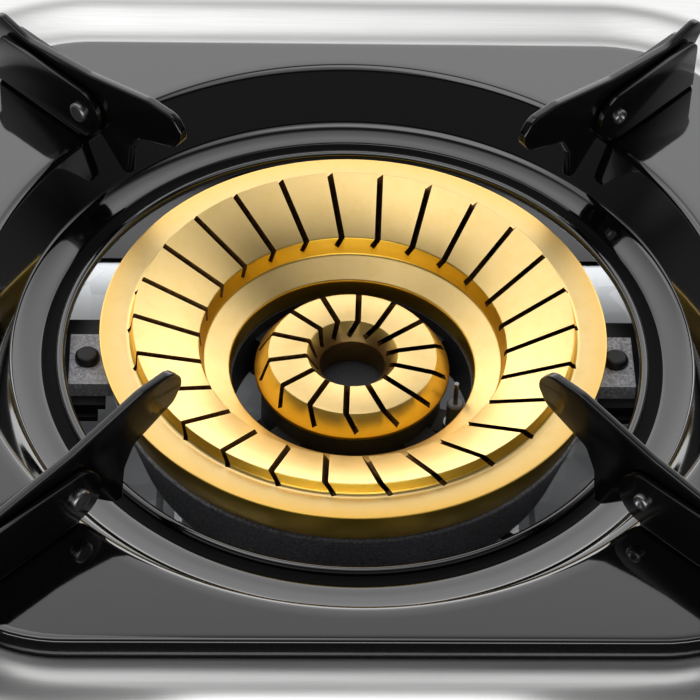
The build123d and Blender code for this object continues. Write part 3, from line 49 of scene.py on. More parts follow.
fingerAngles = {"back_right": 45, "back_left": 135, "front_left": 225, "front_right": 315}


# material helpers

def startMaterial(name, **sockets):
    material = bpy.data.materials.new(name)
    material.use_nodes = True
    tree = material.node_tree
    shader = tree.nodes["Principled BSDF"]
    for socket, value in sockets.items():
        shader.inputs[socket.replace("_", " ")].default_value = value
    return material, tree, shader


def addNode(tree, kind, **values):
    node = tree.nodes.new(kind)
    for name, value in values.items():
        if name in node.inputs:
            node.inputs[name].default_value = value
        else:
            setattr(node, name, value)
    return node


# a node's output is linked to the socket, and anything else is its value
def feed(tree, value, socket):
    if isinstance(value, bpy.types.NodeSocket):
        tree.links.new(value, socket)
    else:
        socket.default_value = value


def objectSpace(tree, middle=(0, 0, 0), stretch=(1, 1, 1)):
    coordinates = addNode(tree, "ShaderNodeTexCoord")
    mapping = addNode(tree, "ShaderNodeMapping", vector_type="TEXTURE")
    mapping.inputs["Location"].default_value = middle
    mapping.inputs["Scale"].default_value = stretch
    tree.links.new(coordinates.outputs["Object"], mapping.inputs["Vector"])
    return mapping.outputs["Vector"]


def splitVector(tree, vector):
    parts = addNode(tree, "ShaderNodeSeparateXYZ")
    tree.links.new(vector, parts.inputs["Vector"])
    return [parts.outputs[axis] for axis in "XYZ"]


def addNoise(tree, place, size, detail=3.0, rough=0.5):
    noise = addNode(tree, "ShaderNodeTexNoise", Scale=1 / (size * mm), Detail=detail, Roughness=rough)
    tree.links.new(place, noise.inputs["Vector"])
    return noise.outputs["Fac"]


def addRamp(tree, value, dark, light, span):
    ramp = addNode(tree, "ShaderNodeValToRGB")
    for mark, position, color in zip(ramp.color_ramp.elements, span, (dark, light)):
        mark.position = position
        mark.color = (*color, 1)
    tree.links.new(value, ramp.inputs["Fac"])
    return ramp.outputs["Color"]


def addRange(tree, value, low, high, span=(0.0, 1.0), way="LINEAR"):
    step = addNode(tree, "ShaderNodeMapRange", interpolation_type=way)
    for name, number in zip(("From Min", "From Max", "To Min", "To Max"), (*span, low, high)):
        step.inputs[name].default_value = number
    tree.links.new(value, step.inputs["Value"])
    return step.outputs["Result"]


# the same for a span of places in mm
def addFade(tree, value, low, high, span):
    return addRange(tree, value, low, high, [edge * mm for edge in span])


def addBump(tree, shader, height, depth, strength=0.6, under=None):
    bump = addNode(tree, "ShaderNodeBump", Strength=strength, Distance=depth * mm)
    tree.links.new(height, bump.inputs["Height"])
    if under:
        tree.links.new(under.outputs["Normal"], bump.inputs["Normal"])
    tree.links.new(bump.outputs["Normal"], shader.inputs["Normal"])
    return bump


# in its colour mode the Mix node has its factor, A and B at these inputs, and its result at this output
mixInputs = (0, 6, 7)
mixOutput = 2


def blendColors(tree, factor, first, second):
    mix = addNode(tree, "ShaderNodeMix", data_type="RGBA")
    for value, index in zip((factor, first, second), mixInputs):
        feed(tree, (*value, 1) if isinstance(value, tuple) else value, mix.inputs[index])
    return mix.outputs[mixOutput]


def doMath(tree, way, first, second=0.0):
    node = addNode(tree, "ShaderNodeMath", operation=way)
    for value, socket in zip((first, second), node.inputs):
        feed(tree, value, socket)
    return node.outputs[0]


burnerMiddle = (0, burnerY * mm, 0)


# distance from the burner's axis, and the place towards the back that goes with it
def addReach(tree):
    across, along = splitVector(tree, objectSpace(tree, burnerMiddle))[:2]
    squares = [doMath(tree, "MULTIPLY", part, part) for part in (across, along)]
    return doMath(tree, "SQRT", doMath(tree, "ADD", *squares)), along


# materials

# brass of the two caps: turned and bead-blasted, ivory on the flats. Painted light on top of that: the
# upright walls are painted orange as a painted reflection of the brass round them, the outer rim a deeper
# gold and its front a deeper orange as a painted reflection, and the hub is painted darker as painted shade.
# "upright" is the normal's z from wall to flat
brassLook = {
    "flat": (0.95, 0.685, 0.30), "wallReflection": (0.97, 0.63, 0.075), "deep": (0.86, 0.60, 0.20),
    "rim": (0.95, 0.60, 0.175), "front": (0.93, 0.52, 0.08), "hub": (0.42, 0.27, 0.10),
    "rimSpan": (59.5, 64.5), "rimShare": 0.75, "frontSpan": (-63.0, -45.0), "hubSpan": (9.5, 12.2),
    "upright": (0.45, 0.93), "cloudSize": 4.0, "cloudSpan": (0.45, 0.75), "cloudShare": 0.5,
    "grainSize": 0.4, "grainDepth": 0.035, "roughness": (0.26, 0.44),
    "ringPitch": 0.5, "ringWobble": 1.5, "ringDetail": 2.0, "ringDepth": 0.008,
}
waveLength = 0.32   # from ring to ring of the wave texture, about, at a scale of 1


def makeBrass():
    look = brassLook
    material, tree, shader = startMaterial("turnedBrass", Metallic=1.0)
    place = objectSpace(tree, burnerMiddle)
    cloud = addNoise(tree, place, look["cloudSize"], detail=5.0, rough=0.6)
    grain = addNoise(tree, place, look["grainSize"], detail=4.0, rough=0.6)
    rings = addNode(
        tree, "ShaderNodeTexWave", wave_type="RINGS", rings_direction="Z", wave_profile="SIN",
        Scale=waveLength / (look["ringPitch"] * mm), Distortion=look["ringWobble"], Detail=look["ringDetail"])
    tree.links.new(place, rings.inputs["Vector"])
    facing = splitVector(tree, addNode(tree, "ShaderNodeNewGeometry").outputs["True Normal"])[2]
    upright = addRange(tree, facing, 1.0, 0.0, look["upright"])
    clouded = addRange(tree, cloud, 0.0, look["cloudShare"], look["cloudSpan"])
    flat = blendColors(tree, clouded, look["flat"], look["deep"])
    reach, along = addReach(tree)
    # painted reflection: the outer rim painted a deeper gold, and its front a deeper orange
    outside = addFade(tree, reach, 0.0, look["rimShare"], look["rimSpan"])
    rim = blendColors(tree, addFade(tree, along, 1.0, 0.0, look["frontSpan"]), look["rim"], look["front"])
    # painted reflection: the upright walls painted orange, as if lit by the brass round them
    base = blendColors(tree, upright, blendColors(tree, outside, flat, rim), look["wallReflection"])
    # painted shade: the hub painted darker down in its bore
    base = blendColors(tree, addFade(tree, reach, 1.0, 0.0, look["hubSpan"]), base, look["hub"])
    tree.links.new(base, shader.inputs["Base Color"])
    tree.links.new(addRange(tree, grain, *look["roughness"]), shader.inputs["Roughness"])
    first = addBump(tree, shader, grain, look["grainDepth"])
    addBump(tree, shader, rings.outputs["Fac"], look["ringDepth"], strength=0.5, under=first)
    return material


# the walls of the saw cuts, painted near black with a mottle: painted shade down in the narrow cuts
sawnLook = {
    "dark": (0.050, 0.022, 0.007), "light": (0.16, 0.075, 0.020), "span": (0.35, 0.7),
    "cutShadeMottleSize": 1.4, "depth": 0.03,
}


def makeSawnBrass():
    look = sawnLook
    material, tree, shader = startMaterial("sawnBrass", Metallic=1.0, Roughness=0.5)
    cutShadeMottle = addNoise(tree, objectSpace(tree, burnerMiddle), look["cutShadeMottleSize"], detail=4.0, rough=0.6)
    base = addRamp(tree, cutShadeMottle, look["dark"], look["light"], look["span"])
    tree.links.new(base, shader.inputs["Base Color"])
    addBump(tree, shader, cutShadeMottle, look["depth"], strength=0.5)
    return material


# black vitreous enamel: nearly black glass with a faint ripple and fine specks
enamelLook = {
    "dark": (0.0015, 0.0015, 0.0018), "light": (0.004, 0.004, 0.0045), "span": (0.3, 0.75), "speckSize": 0.6,
    "waveSize": 9.0, "smoother": 0.02, "rougher": 0.03, "coatRoughness": 0.04,
}


def makeEnamel(name, roughness, shine, coat, ripple):
    look = enamelLook
    material, tree, shader = startMaterial(
        name, Metallic=0.0, Specular_IOR_Level=shine, Coat_Weight=coat, Coat_Roughness=look["coatRoughness"])
    place = objectSpace(tree)
    waves = addNoise(tree, place, look["waveSize"], detail=2.0)
    specks = addNoise(tree, place, look["speckSize"], detail=2.0)
    base = addRamp(tree, specks, look["dark"], look["light"], look["span"])
    tree.links.new(base, shader.inputs["Base Color"])
    rough = addRange(tree, specks, roughness - look["smoother"], roughness + look["rougher"])
    tree.links.new(rough, shader.inputs["Roughness"])
    addBump(tree, shader, waves, ripple, strength=0.4)
    return material


# cast iron with a sandy grain, painted pale outside as painted light, and darkened under the caps as painted
# shade
ironLook = {
    "dark": (0.22, 0.226, 0.26), "light": (0.84, 0.84, 0.90), "span": (0.38, 0.68), "grainSize": 0.75,
    "faded": (0.46, 0.465, 0.52), "fadedShare": 0.5, "patchSize": 12.0, "patchSpan": (0.35, 0.7),
    "capShade": (0.020, 0.021, 0.028), "capShadeSpan": (34.0, 52.0), "capShadeShare": 0.96,
    "roughness": (0.38, 0.62), "depth": 0.25,
}


def makeIron():
    look = ironLook
    material, tree, shader = startMaterial("castIron", Metallic=0.0)
    place = objectSpace(tree)
    grain = addNoise(tree, place, look["grainSize"], detail=4.0, rough=0.7)
    patches = addNoise(tree, place, look["patchSize"])
    # painted light: the grain's tones are pale to stand for light that the lamps don't bring
    fine = addRamp(tree, grain, look["dark"], look["light"], look["span"])
    patched = addRange(tree, patches, 0.0, look["fadedShare"], look["patchSpan"])
    base = blendColors(tree, patched, fine, look["faded"])
    # painted shade: near black within the caps' reach
    capShadeMask = addFade(tree, addReach(tree)[0], look["capShadeShare"], 0.0, look["capShadeSpan"])
    tree.links.new(blendColors(tree, capShadeMask, base, look["capShade"]), shader.inputs["Base Color"])
    tree.links.new(addRange(tree, grain, *look["roughness"]), shader.inputs["Roughness"])
    addBump(tree, shader, grain, look["depth"], strength=0.8)
    return material


# bare metal with a grain, which a stretch along X draws out into brush marks
brushedLook = {"shade": 0.9, "span": (0.3, 0.7), "cloudSize": 60.0, "smoother": 0.04, "rougher": 0.05}


def makeBrushed(name, color, roughness, stretch=1, grainSize=0.5, depth=0.004):
    look = brushedLook
    material, tree, shader = startMaterial(name, Metallic=1.0)
    streaks = addNoise(tree, objectSpace(tree, (0, 0, 0), (stretch, 1, 1)), grainSize, rough=0.6)
    cloud = addNoise(tree, objectSpace(tree), look["cloudSize"], detail=2.0)
    dark = tuple(look["shade"] * part for part in color)
    tree.links.new(addRamp(tree, streaks, dark, color, look["span"]), shader.inputs["Base Color"])
    rough = addRange(tree, cloud, roughness - look["smoother"], roughness + look["rougher"])
    tree.links.new(rough, shader.inputs["Roughness"])
    addBump(tree, shader, streaks, depth)
    return material


# paint, plastic, rubber and ceramic: a fine grain under a faint cloud
paintedLook = {
    "lift": 1.25, "liftBy": 0.004, "span": (0.35, 0.7), "cloudSize": 25.0, "smoother": 0.06, "rougher": 0.08,
}


def makePainted(name, color, roughness, grainSize=0.5, depth=0.02, **sockets):
    look = paintedLook
    material, tree, shader = startMaterial(name, **sockets)
    place = objectSpace(tree)
    grain = addNoise(tree, place, grainSize)
    cloud = addNoise(tree, place, look["cloudSize"])
    light = tuple(min(1.0, look["lift"] * part + look["liftBy"]) for part in color)
    tree.links.new(addRamp(tree, cloud, color, light, look["span"]), shader.inputs["Base Color"])
    rough = addRange(tree, grain, roughness - look["smoother"], roughness + look["rougher"])
    tree.links.new(rough, shader.inputs["Roughness"])
    addBump(tree, shader, grain, depth)
    return material


# galvanised sheet with its spangle
spangleLook = {
    "dark": (0.62, 0.64, 0.66), "light": (0.80, 0.82, 0.84), "span": (0.2, 0.8), "size": 7.0,
    "roughness": (0.32, 0.5), "grainSize": 1.2, "depth": 0.02,
}


def makeGalvanised():
    look = spangleLook
    material, tree, shader = startMaterial("galvanisedSheet", Metallic=1.0)
    place = objectSpace(tree)
    spangle = addNode(tree, "ShaderNodeTexVoronoi", feature="F1", Scale=1 / (look["size"] * mm))
    tree.links.new(place, spangle.inputs["Vector"])
    tone = addRange(tree, spangle.outputs["Color"], 0.0, 1.0)
    base = addRamp(tree, tone, look["dark"], look["light"], look["span"])
    tree.links.new(base, shader.inputs["Base Color"])
    tree.links.new(addRange(tree, tone, *look["roughness"]), shader.inputs["Roughness"])
    addBump(tree, shader, addNoise(tree, place, look["grainSize"]), look["depth"], strength=0.4)
    return material


# black knob plastic with a white pointer line painted on the grip's face
knobLook = {
    "dark": (0.012, 0.012, 0.013), "light": (0.022, 0.022, 0.023), "span": (0.35, 0.7),
    "line": (0.75, 0.75, 0.73), "lineHalf": 0.9, "lineFrom": 5.0, "lineTo": 18.0, "faceY": -197.4,
    "grainSize": 0.4, "roughness": (0.3, 0.46), "depth": 0.015,
}


def makeKnobPlastic():
    look = knobLook
    material, tree, shader = startMaterial("knobPlastic")
    place = objectSpace(tree, (0, 0, tapZ * mm))
    across, along, height = splitVector(tree, place)
    limits = [
        doMath(tree, "LESS_THAN", doMath(tree, "ABSOLUTE", across), look["lineHalf"] * mm),
        doMath(tree, "GREATER_THAN", height, look["lineFrom"] * mm),
        doMath(tree, "LESS_THAN", height, look["lineTo"] * mm),
        doMath(tree, "LESS_THAN", along, look["faceY"] * mm)]
    line = limits[0]
    for limit in limits[1:]:
        line = doMath(tree, "MULTIPLY", line, limit)
    grain = addNoise(tree, place, look["grainSize"])
    base = addRamp(tree, grain, look["dark"], look["light"], look["span"])
    tree.links.new(blendColors(tree, line, base, look["line"]), shader.inputs["Base Color"])
    tree.links.new(addRange(tree, grain, *look["roughness"]), shader.inputs["Roughness"])
    addBump(tree, shader, grain, look["depth"])
    return material


looks = {
    "brass": makeBrass(),
    "sawnBrass": makeSawnBrass(),
    "skirtEnamel": makeEnamel("skirtEnamel", roughness=0.26, shine=0.25, coat=0.0, ripple=0.05),
    "enamel": makeEnamel("trayEnamel", roughness=0.06, shine=0.8, coat=1.0, ripple=0.03),
    "fingerEnamel": makeEnamel("fingerEnamel", roughness=0.16, shine=0.5, coat=0.2, ripple=0.05),
    "heatedEnamel": makeEnamel("heatedEnamel", roughness=0.45, shine=0.06, coat=0.0, ripple=0.05),
    "iron": makeIron(),
    "deck": makeBrushed("brushedDeck", (0.76, 0.76, 0.755), roughness=0.30, stretch=60),
    "shell": makePainted("blackShell", (0.012, 0.012, 0.013), roughness=0.4),
    "galvanised": makeGalvanised(),
    # zinc of the burner brackets and their screws, made near black
    "nearBlackZinc": makePainted(
        "nearBlackZinc", (0.010, 0.010, 0.011), roughness=0.42, grainSize=0.8, depth=0.03, Metallic=0.3),
    "zinc": makeBrushed("zincSteel", (0.62, 0.62, 0.62), roughness=0.32, grainSize=0.6, depth=0.02),
    "rivetSteel": makeBrushed("rivetSteel", (0.30, 0.30, 0.31), roughness=0.36, grainSize=0.8, depth=0.03),
    "machinedBrass": makeBrushed("machinedBrass", (0.82, 0.62, 0.30), roughness=0.26, depth=0.006),
    "aluminium": makePainted(
        "castAluminium", (0.62, 0.62, 0.63), roughness=0.45, grainSize=0.7, depth=0.06, Metallic=1.0),
    "knobPlastic": makeKnobPlastic(),
    "plastic": makePainted("blackPlastic", (0.014, 0.014, 0.015), roughness=0.38, grainSize=0.4, depth=0.015),
    "chrome": makeBrushed("chromedSteel", (0.86, 0.87, 0.88), roughness=0.12, grainSize=2.0, depth=0.002),
    "rubber": makePainted("blackRubber", (0.02, 0.02, 0.02), roughness=0.75, grainSize=0.6, depth=0.05),
    # the electrode's insulator, ceramic made dark grey
    "ceramic": makePainted("darkGreyCeramic", (0.15, 0.15, 0.145), roughness=0.3, grainSize=1.5, depth=0.01),
}
print("materials made")

nodeLooks = {
    "deck": ["top_panel", "front_panel"],
    "shell": ["body_frame", "valve_bracket"],
    "galvanised": ["base_pan"],
    "nearBlackZinc": ["burner_bracket_left", "burner_bracket_right", "burner_screws"],
    "enamel": ["drip_tray"],
    "fingerEnamel": [
        kind + "_" + corner for kind in ("finger_bracket", "pan_finger") for corner in fingerAngles],
    "brass": ["outer_burner_cap", "inner_burner_cap"],
    "machinedBrass": ["injector_outer", "injector_inner", "hose_nozzle", "pipe_nut", "valve_bonnet"],
    "iron": ["burner_body"],
    "zinc": ["finger_rivet_" + corner for corner in fingerAngles] + [
        "base_screws", "foot_screws", "valve_screws", "gas_pipe", "hose_nozzle_nut", "electrode_clip",
        "spindle", "push_collar", "return_spring", "air_shutter_outer", "air_shutter_inner"],
    "rivetSteel": ["electrode_pin"],
    "aluminium": ["gas_valve"],
    "knobPlastic": ["knob"],
    "plastic": ["igniter_unit"],
    "chrome": ["knob_bezel"],
    "rubber": ["rubber_feet", "ignition_lead"],
    "ceramic": ["electrode_insulator"],
}
for look, names in nodeLooks.items():
    for name in names:
        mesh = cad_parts[name].data
        mesh.materials.clear()
        mesh.materials.append(looks[look])


# mesh helpers

ringSnap = 0.02     # mm, how far a vertex may lie from the ring that is rounded
mergeGap = 0.002    # mm, vertices nearer than this are merged
tiny = 1e-7         # m, a distance that counts as none
cornerSteps = 6     # along each rounded corner of a plate


def linkObject(name, data):
    made = bpy.data.objects.new(name, data)
    bpy.context.scene.collection.objects.link(made)
    return made


def shadeSmooth(mesh, sharpAngle):
    for face in mesh.polygons:
        face.use_smooth = True
    mesh.set_sharp_from_angle(angle=math.radians(sharpAngle))


def finishPiece(bm, name, body, look, nodes, sharpAngle, merge=mergeGap):
    bmesh.ops.remove_doubles(bm, verts=bm.verts[:], dist=merge * mm)
    bmesh.ops.recalc_face_normals(bm, faces=bm.faces[:])
    mesh = bpy.data.meshes.new(name)
    bm.to_mesh(mesh)
    bm.free()
    shadeSmooth(mesh, sharpAngle)
    mesh.materials.append(looks[look])
    piece = linkObject(name, mesh)
    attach(piece, body)
    if nodes:
        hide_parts(*nodes)
    return piece


def addPart(bm, part):
    mesh = bpy.data.meshes.new("part")
    part.to_mesh(mesh)
    part.free()
    bm.from_mesh(mesh)
    bpy.data.meshes.remove(mesh)


def burnerPoint(radius, height):
    return (radius, burnerY, trayZ + height)


def burnerReach(co):
    return math.hypot(co.x, co.y - burnerY * mm)


# takes a shape drawn with radius along X and height along Z to an upright plane through the burner axis
def burnerTurn(angle):
    return Matrix.Translation((0, burnerY * mm, trayZ * mm)) @ Matrix.Rotation(math.radians(angle), 4, "Z")


def spinAround(bm, points, middle, axis, steps, closed=True):
    verts = [bm.verts.new(Vector(point) * mm) for point in points]
    pairs = list(zip(verts, verts[1:])) + ([(verts[-1], verts[0])] if closed else [])
    edges = [bm.edges.new(pair) for pair in pairs]
    bmesh.ops.spin(
        bm, geom=verts + edges, cent=Vector(middle) * mm, axis=axis, angle=math.tau, steps=steps,
        use_merge=True, use_normal_flip=False, use_duplicate=False)
    bmesh.ops.remove_doubles(bm, verts=bm.verts[:], dist=mergeGap / 2 * mm)


def spinBurner(bm, points, steps, closed=True):
    spinAround(bm, [burnerPoint(*point) for point in points], (0, burnerY, 0), (0, 0, 1), steps, closed)


def bevelEdges(bm, edges, offset, segments, clamp=True):
    bmesh.ops.bevel(
        bm, geom=edges, offset=offset * mm, offset_type="OFFSET", segments=segments, profile=0.5,
        affect="EDGES", clamp_overlap=clamp, material=-1)


# rounds the ring of edges at this radius and height over the tray's top
def roundRing(bm, radius, height, offset, segments):
    def lies(co):
        near = abs(burnerReach(co) - radius * mm) < ringSnap * mm
        return near and abs(co.z - (trayZ + height) * mm) < ringSnap * mm

    ring = [edge for edge in bm.edges if all(lies(vert.co) for vert in edge.verts)]
    bevelEdges(bm, ring, offset, segments, clamp=False)


def sharpEdges(bm, angle):
    return [edge for edge in bm.edges
            if len(edge.link_faces) == 2 and edge.calc_face_angle() > math.radians(angle)]


# a flat face through the points, with the corners in rounds given that radius
def plateFace(bm, points, rounds):
    verts = [bm.verts.new(Vector(point) * mm) for point in points]
    bm.faces.new(verts)
    for index, radius in rounds.items():
        here = Vector(points[index])
        arriving = (here - Vector(points[index - 1])).normalized()
        leaving = (Vector(points[(index + 1) % len(points)]) - here).normalized()
        offset = radius * math.tan(arriving.angle(leaving) / 2)
        bmesh.ops.bevel(
            bm, geom=[verts[index]], offset=offset * mm, offset_type="OFFSET", segments=cornerSteps,
            profile=0.5, affect="VERTICES", material=-1)


# thickens a flat face into a plate, from start to start + way
def thicken(bm, start, way):
    bmesh.ops.translate(bm, verts=bm.verts[:], vec=start)
    made = bmesh.ops.extrude_face_region(bm, geom=bm.faces[:])["geom"]
    moved = [item for item in made if isinstance(item, bmesh.types.BMVert)]
    bmesh.ops.translate(bm, verts=moved, vec=way)
    bmesh.ops.recalc_face_normals(bm, faces=bm.faces[:])


def extrudeRing(bm, rim, place):
    made = bmesh.ops.extrude_edge_only(bm, edges=rim)["geom"]
    for vert in (item for item in made if isinstance(item, bmesh.types.BMVert)):
        vert.co = place(vert.co)
    return [item for item in made if isinstance(item, bmesh.types.BMEdge)]


# a quarter round from a flat top down to an upright wall, as (inset, height) from the corner that it rounds
def edgeArc(radius, steps):
    turns = [math.pi / 2 * step / steps for step in range(steps + 1)]
    return [(radius * (1 - math.sin(turn)), -radius * (1 - math.cos(turn))) for turn in turns]


# where the ray from a middle through a vertex meets a rounded rectangle, drawn in by an inset
def rectanglePoint(co, middle, halfX, halfY, corner, inset, height):
    angle = math.atan2(co.y - middle[1] * mm, co.x - middle[0] * mm)
    halfX, halfY, corner = halfX - inset, halfY - inset, corner - inset
    across, along = math.cos(angle), math.sin(angle)
    reach = min(halfX / max(abs(across), tiny), halfY / max(abs(along), tiny))
    x, y = abs(across) * reach, abs(along) * reach
    if x > halfX - corner and y > halfY - corner:
        heart = Vector((halfX - corner, halfY - corner))
        dot = Vector((abs(across), abs(along))).dot(heart)
        reach = dot + math.sqrt(max(dot * dot - heart.length_squared + corner * corner, 0.0))
    return Vector((middle[0] + across * reach, middle[1] + along * reach, height)) * mm


# turns the faces of an open sheet up and thickens it
def makeSheet(bm, thickness):
    bmesh.ops.recalc_face_normals(bm, faces=bm.faces[:])
    if sum(face.normal.z * face.calc_area() for face in bm.faces) < 0:
        bmesh.ops.reverse_faces(bm, faces=bm.faces[:])
    bmesh.ops.solidify(bm, geom=bm.faces[:], thickness=thickness * mm)


# drip tray: a round well in a square plate with a hemmed skirt, and a bead round the well's opening

trayLook = {
    "half": 108.0, "corner": 38.1, "sheet": 1.0, "steps": 256,
    "edgeRound": 1.1, "edgeSteps": 6, "edgeRun": 1.5,
    "skirt": 5.4, "hemRise": 1.5, "hemDrop": 0.5, "hemOut": 0.35,
    "well": [
        (75.9, -12.9), (76.4, -13.05), (77.4, -13.4), (78.6, -13.55), (79.5, -13.4), (80.1, -13.12),
        (81.0, -13.06), (82.4, -13.02), (83.8, -12.95), (85.2, -12.83), (86.4, -12.65), (87.3, -12.42),
        (88.0, -12.1), (97.2, 0.0), (101.2, 0.0)],
    "wellRounds": [(97.2, 0.0, 1.5, 8), (88.0, -12.1, 0.5, 6)],
    "bead": (75.3, -12.9), "beadRound": 1.3, "beadSteps": 20,
    "dullRing": (75.0, 79.9), "skirtFrom": 103.0, "skirtFacing": 0.5,
}


def makeTray():
    look = trayLook
    bm = bmesh.new()
    spinBurner(bm, look["well"], look["steps"], closed=False)
    for ring in look["wellRounds"]:
        roundRing(bm, *ring)
    plateStart = look["well"][-1][0] * mm
    rim = [edge for edge in bm.edges if edge.is_boundary
           and all(abs(burnerReach(vert.co) - plateStart) < ringSnap * mm for vert in edge.verts)]
    hemTop, foot = look["hemRise"] - look["skirt"], -look["skirt"]
    rings = [(look["edgeRound"] + look["edgeRun"], 0.0), *edgeArc(look["edgeRound"], look["edgeSteps"]),
             (0.0, hemTop), (-look["hemOut"], hemTop - look["hemDrop"]), (-look["hemOut"], foot)]
    for inset, height in rings:
        rim = extrudeRing(bm, rim, lambda co: rectanglePoint(
            co, (0, burnerY), look["half"], look["half"], look["corner"], inset, trayZ + height))
    makeSheet(bm, look["sheet"])
    beadRadius, beadHeight = look["bead"]
    bead = bmesh.ops.create_circle(bm, radius=look["beadRound"] * mm, segments=look["beadSteps"])["verts"]
    place = Matrix.Translation(Vector(burnerPoint(beadRadius, beadHeight)) * mm)
    bmesh.ops.transform(bm, matrix=place @ Matrix.Rotation(math.pi / 2, 4, "X"), verts=bead)
    edges = list({edge for vert in bead for edge in vert.link_edges})
    bmesh.ops.spin(bm, geom=bead + edges, cent=(0, burnerY * mm, 0), axis=(0, 0, 1), angle=math.tau,
                   steps=look["steps"], use_merge=True, use_duplicate=False)
    tray = finishPiece(bm, "dripTray", "pan_tray", "enamel", ["drip_tray"], sharpAngle=60)
    for coat in ("skirtEnamel", "heatedEnamel"):
        tray.data.materials.append(looks[coat])
    dullFrom, dullTo = (reach * mm for reach in look["dullRing"])
    beadEdge, beadMiddle = (beadRadius + look["beadRound"]) * mm, (trayZ + beadHeight) * mm
    for face in tray.data.polygons:      # the skirt and the ring round the bead have a duller coat
        reach = burnerReach(face.center)
        if face.normal.z < look["skirtFacing"] and reach > look["skirtFrom"] * mm:
            face.material_index = 1
        elif dullFrom < reach < dullTo and (reach > beadEdge or face.center.z < beadMiddle):
            face.material_index = 2


makeTray()
print("tray made")


# deck: a pressed stainless top with a soft recess round the tray

deckLook = {
    "width": 280.0, "depth": 340.0, "middleY": -2.0, "corner": 18.0, "top": 90.0, "skirt": 14.0, "sheet": 1.0,
    "edgeRound": 4.0, "edgeSteps": 8, "edgeRun": 1.0,
    "recessHalf": 121.2, "recessCorner": 51.3, "recessDepth": 3.6, "hole": 95.0, "steps": 256,
    "slopeOut": 8.0, "slopeIn": 8.0, "slopeSteps": 10, "floorRun": 4.0, "topRun": 1.0,
}


def makeDeck():
    look = deckLook
    bm = bmesh.new()
    floor, top = look["top"] - look["recessDepth"], look["top"]
    ring = bmesh.ops.create_circle(bm, radius=look["hole"] * mm, segments=look["steps"])["verts"]
    bmesh.ops.translate(bm, verts=ring, vec=(0, burnerY * mm, floor * mm))
    rim = bm.edges[:]
    slope = [(look["slopeIn"] + look["floorRun"], floor)]
    for step in range(look["slopeSteps"] + 1):
        share = step / look["slopeSteps"]
        rise = share * share * (3 - 2 * share)
        inset = look["slopeIn"] - share * (look["slopeIn"] + look["slopeOut"])
        slope.append((inset, floor + rise * look["recessDepth"]))
    slope.append((-look["slopeOut"] - look["topRun"], top))
    half, corner = look["recessHalf"], look["recessCorner"]
    for inset, height in slope:
        rim = extrudeRing(bm, rim, lambda co: rectanglePoint(
            co, (0, burnerY), half, half, corner, inset, height))
    middle, halfX, halfY = (0, look["middleY"]), look["width"] / 2, look["depth"] / 2
    outline = [(look["edgeRound"] + look["edgeRun"], top)]
    outline += [(inset, top + drop) for inset, drop in edgeArc(look["edgeRound"], look["edgeSteps"])]
    outline += [(0.0, top - look["skirt"])]
    for inset, height in outline:
        rim = extrudeRing(bm, rim, lambda co: rectanglePoint(
            co, middle, halfX, halfY, look["corner"], inset, height))
    makeSheet(bm, look["sheet"])
    finishPiece(bm, "deck", "stove_body", "deck", ["top_panel"], sharpAngle=40)


makeDeck()
print("deck made")


# pan fingers, their brackets and rivets

fingerLook = {
    "outline": [
        (60.9, 21.6), (65.2, 26.4), (75.0, 26.3), (97.5, 21.4), (122.0, 18.4), (133.5, 20.9), (136.0, 16.8),
        (130.5, 9.4), (108.0, 5.2), (92.6, 3.0), (86.0, -3.4), (84.6, -4.6), (82.2, -4.4), (81.3, 5.0),
        (78.0, 11.0), (64.6, 16.2)],
    "rounds": {
        0: 3.6, 1: 3.6, 2: 8.0, 3: 14.0, 4: 10.0, 5: 3.0, 6: 3.0, 7: 3.0, 9: 3.0, 11: 0.8, 12: 0.8, 13: 2.0,
        14: 2.6, 15: 3.6},
    "thickness": 2.4, "edge": 0.55, "edgeSteps": 4,
}


def makeFinger(corner, angle):
    look = fingerLook
    bm = bmesh.new()
    plateFace(bm, [(radius, 0, height) for radius, height in look["outline"]], look["rounds"])
    thickness = look["thickness"] * mm
    thicken(bm, (0, -thickness / 2, 0), (0, thickness, 0))
    rim = [edge for edge in bm.edges if abs(edge.verts[0].co.y - edge.verts[1].co.y) < tiny]
    bevelEdges(bm, rim, look["edge"], look["edgeSteps"])
    bmesh.ops.transform(bm, matrix=burnerTurn(angle), verts=bm.verts[:])
    finishPiece(
        bm, "panFinger_" + corner, "finger_" + corner, "fingerEnamel",
        ["pan_finger_" + corner], sharpAngle=50)


for corner, angle in fingerAngles.items():
    makeFinger(corner, angle)
print("fingers made")


# a bracket is two cheeks joined by a web behind the finger's foot. A cheek's nose stands clear of the tray
bracketLook = {
    "nose": 91.0, "rear": 131.0, "top": 16.6, "noseLow": 1.8, "step": 98.4, "stepRun": 0.6,
    "noseRound": 7.38, "rearRound": 3.0, "gap": 4.0, "sheet": 1.5,
    "edge": 0.6, "edgeSteps": 3, "edgeAngle": 50, "edgeFrom": 0.1, "fold": 1.3, "foldSteps": 5,
    "webFront": 101.5, "webRear": 130.4, "webOverlap": 0.02, "merge": 0.0005,
}


def makeCheek(side):
    look = bracketLook
    bm = bmesh.new()
    outline = [
        (look["nose"], 0, look["noseLow"]), (look["step"], 0, look["noseLow"]),
        (look["step"] + look["stepRun"], 0, 0),
        (look["rear"], 0, 0), (look["rear"], 0, look["top"]), (look["nose"], 0, look["top"])]
    plateFace(bm, outline, {0: look["noseRound"], 4: look["rearRound"], 5: look["noseRound"]})
    near, sheet = look["gap"] / 2 * mm, look["sheet"] * mm
    thicken(bm, (0, side * near, 0), (0, side * sheet, 0))
    far = near + sheet
    fold = [edge for edge in bm.edges
            if all(abs(vert.co.z) < tiny and abs(abs(vert.co.y) - far) < tiny for vert in edge.verts)]
    bevelEdges(bm, fold, look["fold"], look["foldSteps"])
    rim = [edge for edge in sharpEdges(bm, look["edgeAngle"])
           if min(vert.co.z for vert in edge.verts) > look["edgeFrom"] * mm]
    bevelEdges(bm, rim, look["edge"], look["edgeSteps"])
    return bm


